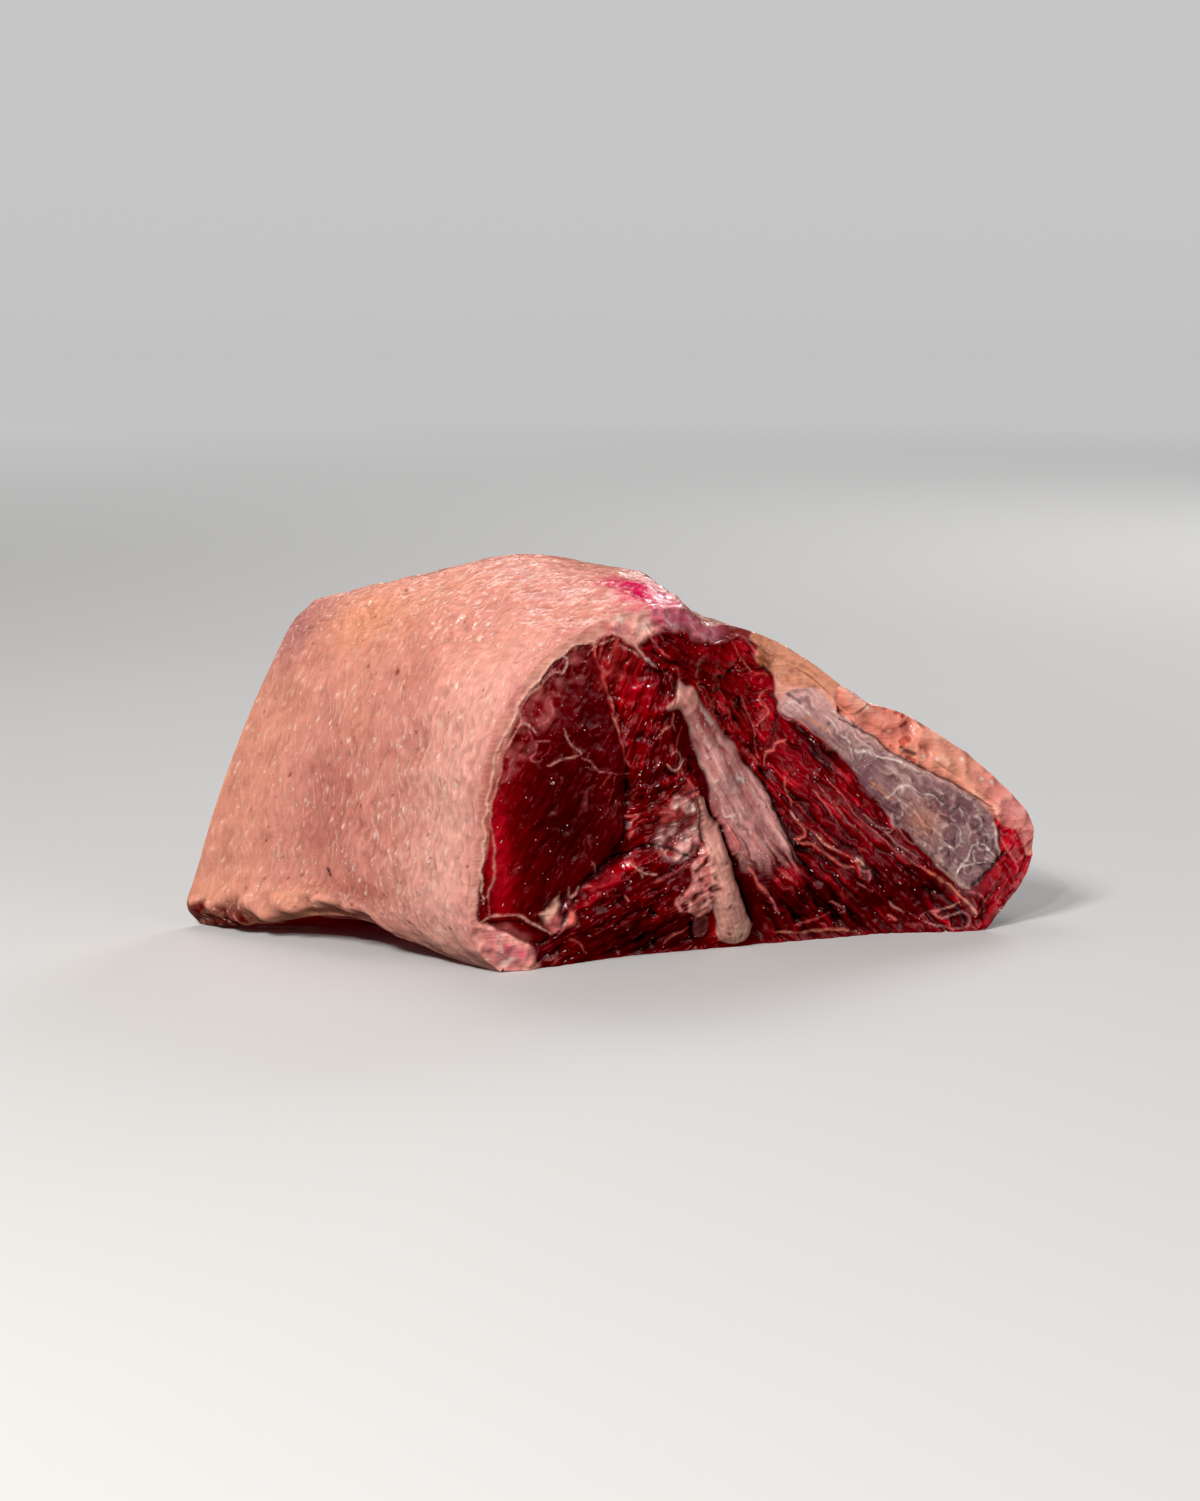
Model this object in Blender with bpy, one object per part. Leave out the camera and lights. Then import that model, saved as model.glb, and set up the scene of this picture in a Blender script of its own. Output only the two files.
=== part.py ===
# Raw sirloin joint: a lean core and the fat cap that wraps its back, as two solids.
#
# The joint is a thick slice: a near cut face, a far cut face, and between them a side surface that
# is swept from one to the other. Sections are drawn in planes parallel to the near cut. In such a
# plane, "along" runs from the front bottom corner to the right, and "up" is the height.
import math

import bmesh
import bpy
import numpy as np

MM = 0.001

# Driving dimensions, in millimetres and degrees. The origin is under the middle of the joint.
FRONT_CORNER = (-40.7, -67.0)  # where the near cut, the fat cap and the table meet
CUT_HEADING = 19.46  # the near cut's foot, turned from +X towards +Y
SWEEP_HEADING = 149.25  # the way from the near cut to the far cut, along the fat cap
SWEEP_LENGTH = 142.2
TAIL_LEAN = 0.35  # how far the tail's face leans back for each millimetre of height
TAIL_START, TAIL_FULL = 55.0, 125.0  # the stretch along the cut over which that lean sets in
FOOT_RECESS = 8.0  # how far the near cut's foot is drawn back between its two ends
FAT_PARTING = 0.5  # between the fat cap and the lean, in the plane of a section

# Sections of the joint: from the fat cap's low edge up its side, over the crown, down the tail and
# round the nose to its foot. Each pair is (along, up). The rest of a section is the flat base.
NEAR_SECTION = [
    (0, 0), (-8, 8), (-12, 22), (-9, 48), (-6, 76), (5, 102), (25, 121), (50, 130), (74, 129.5),
    (86, 121.5), (101, 118.8), (121, 111.6), (140, 99.6), (156, 87), (173, 81), (196, 66), (212.5, 51),
    (222, 36.5), (216, 19), (196, 0),
]
MIDDLE_SECTION = [
    (3, 0), (-3, 9), (-2, 23), (4, 50), (11, 80), (22, 108), (42, 131), (72, 144.3), (105, 140.5),
    (118, 131.5), (129, 121), (157, 109), (178, 97), (196, 84), (209, 75), (222, 60), (230, 48),
    (233, 34), (231, 16), (214, 0),
]
LATE_SECTION = [
    (2, 0), (-3, 9), (2.5, 24), (9.5, 50), (18.5, 80), (31, 109), (46, 127), (70, 136.3), (100, 135.5),
    (120, 127), (134, 118), (158, 105), (176, 92), (191, 79), (203, 68), (214, 54), (221, 41),
    (222, 28), (219, 14), (206, 0),
]
FAR_SECTION = [
    (4, 0), (-1, 8), (3, 21), (12, 49), (24, 79), (35.5, 103), (46, 119.8), (64, 126.5),
    (88, 125.5), (104, 119), (117, 112.5), (138, 100), (155, 88), (169, 74), (179, 63), (189, 50),
    (195, 38), (196, 26), (193, 13), (182, 0),
]
BASE_ENDS = (28, 58, 50, 34)  # where the base meets the fat cap's lifted edge, along each section
SECTION_PLACES = (0.0, 0.5, 0.78, 1.0)  # shares of the sweep where the four sections stand
NOSE_FOOT = len(NEAR_SECTION) - 1  # the section point where the tail's end meets the table
SPINE = ((45, 60), (175, 38))  # the line inside a cut face towards which its mesh closes

# The fat cap's thickness at the section points that it covers, from its low edge to the tail's end.
FAT_THICKNESS = [5, 4.4, 4.4, 4.2, 4.2, 5, 6, 8, 8.5, 7, 5, 4.5, 5, 7, 10, 10, 7, 3.5]
FAT_END = len(FAT_THICKNESS) - 1

# The fat cap's low edge is lifted off the table half-way along the sweep.
LIFT, LIFT_PLACE, LIFT_SPREAD = 12.0, 0.5, 0.27
# Lumps of the thick fat along the tail, and of the rolled low edge: (first and last section point,
# first and last share of the sweep, height, waves round the section, waves along the sweep).
LUMPS = [(13.4, 16.8, -0.2, 0.7, 1.2, 5.0, 6.0), (0.2, 1.9, 0.3, 1.05, 1.1, 1.5, 7.0)]

# Relief of the near cut: (along, up) of both ends of a ridge, its half width, and how far it stands
# out of the face. Hollows and seams between the muscles are negative.
FACE_RELIEF = [
    ((20, 85), (18, 40), 17, 2.2),  # the round muscle behind the fat cap
    ((47, 108), (50, 72), 3.5, -1.6),  # seam on its right
    ((20, 22), (46, 39), 4.0, -3.0),  # seam below it
    ((46, 39), (76, 46), 4.0, -2.6),
    ((49, 64), (50, 56), 4.5, -3.0),  # pocket
    ((30, 11), (72, 14), 7, 2.0),  # lowest muscle
    ((62, 100), (62, 70), 8, 1.6),  # second muscle
    ((78, 96), (92, 66), 6, 2.0),  # sinew band
    ((92, 66), (112, 36), 7.5, 2.2),
    ((86, 36), (95, 8), 6.5, 3.6),  # gristle column
    ((97, 28), (105, 6), 4.2, -4.0),  # groove between gristle and sinew
    ((110, 88), (114, 62), 5, -1.8),  # seam before the tail muscle
    ((124, 72), (168, 28), 13, 3.0),  # tail muscle
    ((150, 66), (182, 42), 10, -2.2),  # sheet of silverskin, sunk below the fat
    ((60, 118), (112, 105), 5, 1.4),  # flaps under the ridge
]

# Mesh steps.
STEPS_PER_SPAN = 4  # between two section points
BASE_SPANS = 7  # along the base
SWEEP_STEPS = 12
NEAR_CAP_STEPS = 20
FAR_CAP_STEPS = 6
CAP_CLOSE = 0.93  # how near to the spine a cut face's last ring lies

CUT_WAY = np.array([math.cos(math.radians(CUT_HEADING)), math.sin(math.radians(CUT_HEADING)), 0])
INWARD = np.array([-CUT_WAY[1], CUT_WAY[0], 0])
SWEEP_WAY = np.array([math.cos(math.radians(SWEEP_HEADING)), math.sin(math.radians(SWEEP_HEADING)), 0])
UP = np.array([0.0, 0.0, 1.0])


def smoothstep(x, low, high):
    t = np.clip((x - low) / (high - low), 0, 1)
    return t * t * (3 - 2 * t)


def stations():
    """Parameters round a section: a whole number at each section point."""
    return np.arange((NOSE_FOOT + BASE_SPANS + 1) * STEPS_PER_SPAN) / STEPS_PER_SPAN


def section_ring(points, base_end):
    """A closed section: a smooth curve over the skin, straight along the base."""
    points = np.asarray(points, float)
    at = stations()
    skin = np.vstack([2 * points[0] - points[1], points, 2 * points[-1] - points[-2]])
    span = np.clip(np.floor(at).astype(int), 0, NOSE_FOOT - 1)
    f = (at - span)[:, None]
    a, b, c, d = (skin[span + k] for k in range(4))
    curve = 0.5 * (2 * b + (c - a) * f + (2 * a - 5 * b + 4 * c - d) * f**2 + (3 * b - a - 3 * c + d) * f**3)
    turns = [NOSE_FOOT, NOSE_FOOT + BASE_SPANS, NOSE_FOOT + BASE_SPANS + 1]
    base = np.array([points[-1], (base_end, 0), points[0]])
    straight = np.column_stack([np.interp(at, turns, base[:, axis]) for axis in (0, 1)])
    return np.where((at <= NOSE_FOOT)[:, None], curve, straight)


def section_normals(ring):
    """Outward normals of a closed ring in its own plane; the low edge keeps its skin side's."""
    ahead = np.roll(ring, -1, axis=0) - ring
    tangent = ahead + ring - np.roll(ring, 1, axis=0)
    tangent[0] = ahead[0]
    tangent /= np.linalg.norm(tangent, axis=1)[:, None]
    return np.stack([-tangent[:, 1], tangent[:, 0]], 1)


def face_depth(along, up):
    """How far the near cut lies behind the upright plane through the front corner."""
    tail = TAIL_LEAN * smoothstep(along, TAIL_START, TAIL_FULL) * up
    middle = smoothstep(along, 5, 60) * (1 - smoothstep(along, 150, 196))
    return tail + FOOT_RECESS * middle * (1 - smoothstep(up, 0, 26))


def face_relief(along, up):
    """Sum of the ridges and seams of the near cut, as depth."""
    total = np.zeros_like(along)
    for (a0, u0), (a1, u1), half_width, height in FACE_RELIEF:
        way = np.array([a1 - a0, u1 - u0])
        share = np.clip(((along - a0) * way[0] + (up - u0) * way[1]) / (way @ way), 0, 1)
        away = np.hypot(along - a0 - share * way[0], up - u0 - share * way[1])
        total -= height * np.exp(-((away / half_width) ** 2))
    return total


def lump_height(at, sweep):
    """Height of the fat cap's lumps round one ring."""
    total = np.zeros_like(at)
    for first, last, start, end, height, round_waves, sweep_waves in LUMPS:
        window = smoothstep(at, first, first + 0.6) * (1 - smoothstep(at, last - 0.6, last))
        window = window * smoothstep(sweep, start, start + 0.15) * (1 - smoothstep(sweep, end - 0.2, end))
        wave = np.sin(round_waves * at + 9 * sweep) * np.cos(sweep_waves * 2 * np.pi * sweep + 1.7 * at)
        total += height * window * (0.5 + wave)
    return total


def low_edge_lift(at, sweep):
    last = NOSE_FOOT + BASE_SPANS
    weight = np.interp(at, [0, 1, 2, 3, last, last + 1], [1, 0.6, 0.2, 0, 0, 1])
    return LIFT * weight * np.exp(-(((sweep - LIFT_PLACE) / LIFT_SPREAD) ** 2))


def between_sections(sections, sweep):
    """A smooth curve through the four sections, read at a share of the sweep."""
    places = np.array(SECTION_PLACES)
    steps = np.diff(places)
    slopes = [(b - a) / step for a, b, step in zip(sections, sections[1:], steps)]
    tangents = [slopes[0] * 1.3] + [(a + b) / 2 for a, b in zip(slopes, slopes[1:])] + [slopes[-1]]
    i = min(int(np.searchsorted(places, sweep, side="right")) - 1, len(steps) - 1)
    f, step = (sweep - places[i]) / steps[i], steps[i]
    return (sections[i] * (2 * f**3 - 3 * f**2 + 1) + tangents[i] * step * (f**3 - 2 * f**2 + f)
            + sections[i + 1] * (3 * f**2 - 2 * f**3) + tangents[i + 1] * step * (f**3 - f**2))


def skin_rings(inset, lumps):
    """Rings of (along, up, sweep, depth) from the near cut to the far cut, drawn in by inset."""
    at = stations()
    drawn = (NEAR_SECTION, MIDDLE_SECTION, LATE_SECTION, FAR_SECTION)
    sections = [section_ring(points, base_end) for points, base_end in zip(drawn, BASE_ENDS)]
    sections = [ring - section_normals(ring) * inset[:, None] for ring in sections]
    near_depth = face_depth(*sections[0].T)
    rings = []
    for step in range(SWEEP_STEPS + 1):
        sweep = step / SWEEP_STEPS
        ring = between_sections(sections, sweep)
        ring[:, 1] += low_edge_lift(at, sweep)
        if lumps:
            ring += section_normals(ring) * lump_height(at, sweep)[:, None]
        ring[:, 1] = np.maximum(ring[:, 1], 0)
        rings.append(np.column_stack([ring, np.full(len(at), sweep), near_depth * (1 - sweep)]))
    return rings


def fat_thickness():
    at = stations()
    inner = np.interp(at, np.arange(FAT_END + 1), FAT_THICKNESS)
    return np.where(at <= FAT_END, inner, 0.0)


def cap_rings(rim, steps, near):
    """Rings from a rim in towards the spine, which close a cut face."""
    low, high = (np.array(p, float) for p in SPINE)
    edge = rim[:, :2]
    share = np.clip((edge - low) @ (high - low) / ((high - low) @ (high - low)), 0, 1)
    spine = low + share[:, None] * (high - low)
    rings = []
    for step in range(1, steps + 1):
        f = CAP_CLOSE * step / steps
        flat = edge * (1 - f) + spine * f
        depth = np.zeros(len(rim))
        if near:
            depth = face_depth(*flat.T) + face_relief(*flat.T) * smoothstep(f, 0, 0.12)
        rings.append(np.column_stack([flat, rim[:, 2], depth]))
    return rings


def to_world(ring):
    """Positions in metres of rows of (along, up, sweep, depth)."""
    along, up, sweep, depth = (ring[:, k : k + 1] for k in range(4))
    start = np.array([*FRONT_CORNER, 0.0])
    return (start + along * CUT_WAY + up * UP + sweep * SWEEP_LENGTH * SWEEP_WAY + depth * INWARD) * MM


def material(name, colour, roughness):
    made = bpy.data.materials.new(name)
    made.use_nodes = True
    shader = made.node_tree.nodes["Principled BSDF"]
    shader.inputs["Base Color"].default_value = (*colour, 1)
    shader.inputs["Roughness"].default_value = roughness
    made.diffuse_color = (*colour, 1)
    return made


def solid(name, rings, closed_by_faces, finish, turned=()):
    """One closed body: a tube of rings, with the two ends closed as asked.

    The triangles of the columns in turned are split the other way, so that a surface which runs
    backwards is faceted like the one it faces.
    """
    count = len(rings[0])
    faces = []
    for row in range(len(rings) - 1):
        for k in range(count):
            a, b = row * count + k, row * count + (k + 1) % count
            if k in turned:
                faces += [(a, b, a + count), (b, b + count, a + count)]
            else:
                faces += [(a, b, b + count), (a, b + count, a + count)]
    for first in (0, (len(rings) - 1) * count):
        faces += closed_by_faces(first, count)
    mesh = bpy.data.meshes.new(name)
    mesh.from_pydata([tuple(p) for p in np.vstack([to_world(r) for r in rings])], [], faces)
    shape = bmesh.new()
    shape.from_mesh(mesh)
    bmesh.ops.triangulate(shape, faces=shape.faces)
    bmesh.ops.recalc_face_normals(shape, faces=shape.faces)
    shape.to_mesh(mesh)
    shape.free()
    mesh.shade_smooth()
    mesh.set_sharp_from_angle(angle=math.radians(50))
    mesh.materials.append(finish)
    made = bpy.data.objects.new(name, mesh)
    bpy.context.scene.collection.objects.link(made)
    return made


def build_lean(finish):
    """The lean core: under the fat cap it is drawn in, elsewhere it is the joint's own surface."""
    thickness = fat_thickness()
    side = skin_rings(np.where(thickness > 0, thickness + FAT_PARTING, 0.0), False)
    near = cap_rings(side[0], NEAR_CAP_STEPS, True)[::-1]
    far = cap_rings(side[-1], FAR_CAP_STEPS, False)
    return solid("lean", near + side + far, lambda first, count: [tuple(range(first, first + count))], finish)


def build_fat_cap(finish):
    """The fat cap: the joint's skin outside, and inside the same skin drawn in by its thickness."""
    thickness = fat_thickness()
    outer = skin_rings(np.zeros_like(thickness), True)
    inner = skin_rings(thickness, False)
    last = FAT_END * STEPS_PER_SPAN
    loops = [np.vstack([o[: last + 1], i[: last + 1][::-1]]) for o, i in zip(outer, inner)]

    def edge_strip(first, count):
        """Closes an end: the strip between the outer and the inner line of the cap."""
        strip = []
        for k in range(last):
            a, b = first + k, first + k + 1
            c, d = first + count - 1 - k, first + count - 2 - k
            strip += [(a, b, d), (a, d, c)]
        return strip

    return solid("fat_cap", loops, edge_strip, finish, range(last + 1, 2 * last + 1))


def main():
    for old in list(bpy.data.objects):
        bpy.data.objects.remove(old)
    build_lean(material("lean_meat", (0.20, 0.012, 0.016), 0.35))
    build_fat_cap(material("fat", (0.62, 0.36, 0.28), 0.45))


main()
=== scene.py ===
# Looks of the raw sirloin joint: a lean core with its cut faces, and the fat cap that wraps it.
#
# Both pieces follow the solids' own sections, drawn much finer. Each surface is a flat pattern of points
# that is painted first, with a colour, a height and a wetness for each point, and is then carried to its
# place on the joint. Lengths are in millimetres until the meshes are made.
import math

import bmesh
import bpy
import numpy as np
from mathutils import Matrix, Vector, geometry, kdtree


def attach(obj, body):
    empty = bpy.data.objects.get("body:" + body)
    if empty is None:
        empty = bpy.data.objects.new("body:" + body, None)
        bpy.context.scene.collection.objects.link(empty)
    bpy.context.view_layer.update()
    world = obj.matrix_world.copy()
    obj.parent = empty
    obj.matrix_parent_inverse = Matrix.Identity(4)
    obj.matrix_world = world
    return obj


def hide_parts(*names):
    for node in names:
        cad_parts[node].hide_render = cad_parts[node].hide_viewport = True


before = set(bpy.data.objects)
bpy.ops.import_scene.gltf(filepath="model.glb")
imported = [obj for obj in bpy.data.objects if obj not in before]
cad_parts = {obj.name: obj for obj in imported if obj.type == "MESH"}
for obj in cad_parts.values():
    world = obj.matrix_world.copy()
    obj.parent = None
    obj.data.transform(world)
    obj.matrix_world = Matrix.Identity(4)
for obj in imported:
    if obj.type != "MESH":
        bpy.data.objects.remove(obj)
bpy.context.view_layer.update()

MM = 0.001

# The joint's form, as in the solids. "Along" runs from the front corner to the right along the near cut,
# and "up" is the height. Sections stand at shares of the sweep from the near cut to the far one.
FRONT_CORNER = (-40.7, -67.0)
CUT_HEADING = 19.46
SWEEP_HEADING = 149.25
SWEEP_LENGTH = 142.2
TAIL_LEAN = 0.35
TAIL_START, TAIL_FULL = 55.0, 125.0
FOOT_RECESS = 8.0
NEAR_SECTION = [
    (0, 0), (-8, 8), (-12, 22), (-9, 48), (-6, 76), (5, 102), (25, 121), (50, 130), (74, 129.5),
    (86, 121.5), (101, 118.8), (121, 111.6), (140, 99.6), (156, 87), (173, 81), (196, 66), (212.5, 51),
    (222, 36.5), (216, 19), (196, 0),
]
MIDDLE_SECTION = [
    (3, 0), (-3, 9), (-2, 23), (4, 50), (11, 80), (22, 108), (42, 131), (72, 144.3), (105, 140.5),
    (118, 131.5), (129, 121), (157, 109), (178, 97), (196, 84), (209, 75), (222, 60), (230, 48),
    (233, 34), (231, 16), (214, 0),
]
LATE_SECTION = [
    (2, 0), (-3, 9), (2.5, 24), (9.5, 50), (18.5, 80), (31, 109), (46, 127), (70, 136.3), (100, 135.5),
    (120, 127), (134, 118), (158, 105), (176, 92), (191, 79), (203, 68), (214, 54), (221, 41), (222, 28),
    (219, 14), (206, 0),
]
FAR_SECTION = [
    (4, 0), (-1, 8), (3, 21), (12, 49), (24, 79), (35.5, 103), (46, 119.8), (64, 126.5), (88, 125.5),
    (104, 119), (117, 112.5), (138, 100), (155, 88), (169, 74), (179, 63), (189, 50), (195, 38),
    (196, 26), (193, 13), (182, 0),
]
BASE_ENDS = (28, 58, 50, 34)  # where the base meets the fat cap's lifted edge
SECTION_PLACES = (0.0, 0.5, 0.78, 1.0)
NOSE_FOOT = len(NEAR_SECTION) - 1
BASE_SPANS = 7
ROUND = NOSE_FOOT + BASE_SPANS + 1  # the station that closes a section
FAT_THICKNESS = [5, 4.4, 4.4, 4.2, 4.2, 5, 6, 8, 8.5, 7, 5, 4.5, 5, 7, 10, 10, 7, 3.5]
FAT_END = len(FAT_THICKNESS) - 1
LIFT, LIFT_PLACE, LIFT_SPREAD = 12.0, 0.5, 0.27
LUMPS = [(13.4, 16.8, -0.2, 0.7, 1.2, 5.0, 6.0), (0.2, 1.9, 0.3, 1.05, 1.1, 1.5, 7.0)]
FACE_RELIEF = [  # both ends of a ridge, its half width, and how far it stands out
    ((20, 85), (18, 40), 17, 2.2),
    ((47, 108), (50, 72), 3.5, -1.6),
    ((20, 22), (46, 39), 4.0, -3.0),
    ((46, 39), (76, 46), 4.0, -2.6),
    ((49, 64), (50, 56), 4.5, -3.0),
    ((30, 11), (72, 14), 7, 2.0),
    ((62, 100), (62, 70), 8, 1.6),
    ((78, 96), (92, 66), 6, 2.0),
    ((92, 66), (112, 36), 7.5, 2.2),
    ((86, 36), (95, 8), 6.5, 3.6),
    ((97, 28), (105, 6), 4.2, -4.0),
    ((110, 88), (114, 62), 5, -1.8),
    ((124, 72), (168, 28), 13, 3.0),
    ((150, 66), (182, 42), 10, -2.2),
    ((60, 118), (112, 105), 5, 1.4),
]
CUT_WAY = np.array([math.cos(math.radians(CUT_HEADING)), math.sin(math.radians(CUT_HEADING)), 0])
INWARD = np.array([-CUT_WAY[1], CUT_WAY[0], 0])
SWEEP_WAY = np.array([math.cos(math.radians(SWEEP_HEADING)), math.sin(math.radians(SWEEP_HEADING)), 0])
UP = np.array([0.0, 0.0, 1.0])

# Mesh spacing.
RIM_STEP = 0.62  # along the edges of the cuts
CUT_STEP, CUT_FINE_STEP = 0.66, 0.5  # on the near cut, and on its sinew and silverskin
FAR_CUT_STEP = 1.5
SKIN_STEP, TAIL_SKIN_STEP = 0.78, 1.15  # on the fat cap's side, and on its slope down the tail
LEAN_SIDE_STEP = 2.1  # on the nose and the base
HIDDEN_STEP = 7.0  # where the fat cap and the lean face each other


# Noise and curves

def smoothstep(x, low, high):
    t = np.clip((x - low) / (high - low), 0, 1)
    return t * t * (3 - 2 * t)


def scatter(x, y, seed):
    """Even random numbers from 0 to 1 for whole-number cells, the same at each run."""
    mixed = (x.astype(np.int64) * 374761393 + y.astype(np.int64) * 668265263 + seed * 1274126177) & 0xFFFFFFFF
    mixed = ((mixed ^ (mixed >> 13)) * 1103515245) & 0xFFFFFFFF
    mixed = ((mixed ^ (mixed >> 16)) * 69069069) & 0xFFFFFFFF
    return (mixed ^ (mixed >> 15)) / 2.0**32


def noise(x, y, seed=0):
    """Smooth noise from about -1 to 1, with one wave to a unit."""
    left, low = np.floor(x), np.floor(y)
    fx, fy = x - left, y - low
    blend_x, blend_y = (f * f * f * (f * (6 * f - 15) + 10) for f in (fx, fy))
    total = np.zeros_like(fx)
    for i in (0, 1):
        for j in (0, 1):
            turn = scatter(left + i, low + j, seed) * 2 * math.pi
            slope = np.cos(turn) * (fx - i) + np.sin(turn) * (fy - j)
            total += slope * (blend_x if i else 1 - blend_x) * (blend_y if j else 1 - blend_y)
    return total * 1.5


def fractal(x, y, seed=0, octaves=4):
    return sum(noise(x * 2**k + 7.3 * k, y * 2**k - 3.1 * k, seed + k) / 2**k for k in range(octaves))


def cells(x, y, seed=0):
    """Distance to the nearest of scattered points, and that point's own number from 0 to 1."""
    left, low = np.floor(x), np.floor(y)
    first = np.full(x.shape, 9.0)
    number = np.zeros(x.shape)
    for i in (-1, 0, 1):
        for j in (-1, 0, 1):
            px = left + i + scatter(left + i, low + j, seed)
            py = low + j + scatter(left + i, low + j, seed + 50)
            away = np.hypot(px - x, py - y)
            nearer = away < first
            number = np.where(nearer, scatter(left + i, low + j, seed + 90), number)
            first = np.where(nearer, away, first)
    return first, number


def curve(points, step=1.0, closed=False):
    """Points at even steps on a smooth curve through the given ones."""
    points = np.asarray(points, float)
    if closed:
        knots = np.vstack([points[-1:], points, points[:2]])
    else:
        knots = np.vstack([2 * points[0] - points[1], points, 2 * points[-1] - points[-2]])
    pieces = []
    for a, b, c, d in zip(knots, knots[1:], knots[2:], knots[3:]):
        f = np.linspace(0, 1, max(2, int(np.linalg.norm(c - b) / step) + 1), endpoint=False)[:, None]
        pieces.append(0.5 * (2 * b + (c - a) * f + (2 * a - 5 * b + 4 * c - d) * f**2
                             + (3 * b - a - 3 * c + d) * f**3))
    if not closed:
        pieces.append(points[-1:])
    return np.vstack(pieces)


def away_from_line(x, y, line):
    """Distance of each point from a line, and the share of the line's length where it is nearest."""
    start, way = line[:-1], np.diff(line, axis=0)
    length = np.maximum(np.hypot(way[:, 0], way[:, 1]), 1e-9)
    reach = np.concatenate([[0], np.cumsum(length)])
    to_x = x[:, None] - start[None, :, 0]
    to_y = y[:, None] - start[None, :, 1]
    share = np.clip((to_x * way[:, 0] + to_y * way[:, 1]) / length**2, 0, 1)
    away = np.hypot(to_x - share * way[:, 0], to_y - share * way[:, 1])
    nearest = np.argmin(away, axis=1)
    row = np.arange(len(x))
    return away[row, nearest], (reach[nearest] + share[row, nearest] * length[nearest]) / reach[-1]


def within(x, y, outline):
    """Whether each point lies inside a closed outline."""
    inside = np.zeros(len(x), bool)
    for (x0, y0), (x1, y1) in zip(outline, np.roll(outline, -1, axis=0)):
        if y0 != y1:
            crosses = (y0 > y) != (y1 > y)
            inside ^= crosses & (x < x0 + (y - y0) * (x1 - x0) / (y1 - y0))
    return inside


def colour(red, green, blue):
    """A colour given as seen, from 0 to 255, in the linear numbers that the shaders take."""
    seen = np.array([red, green, blue]) / 255
    return np.where(seen <= 0.04045, seen / 12.92, ((seen + 0.055) / 1.055) ** 2.4)


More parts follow.
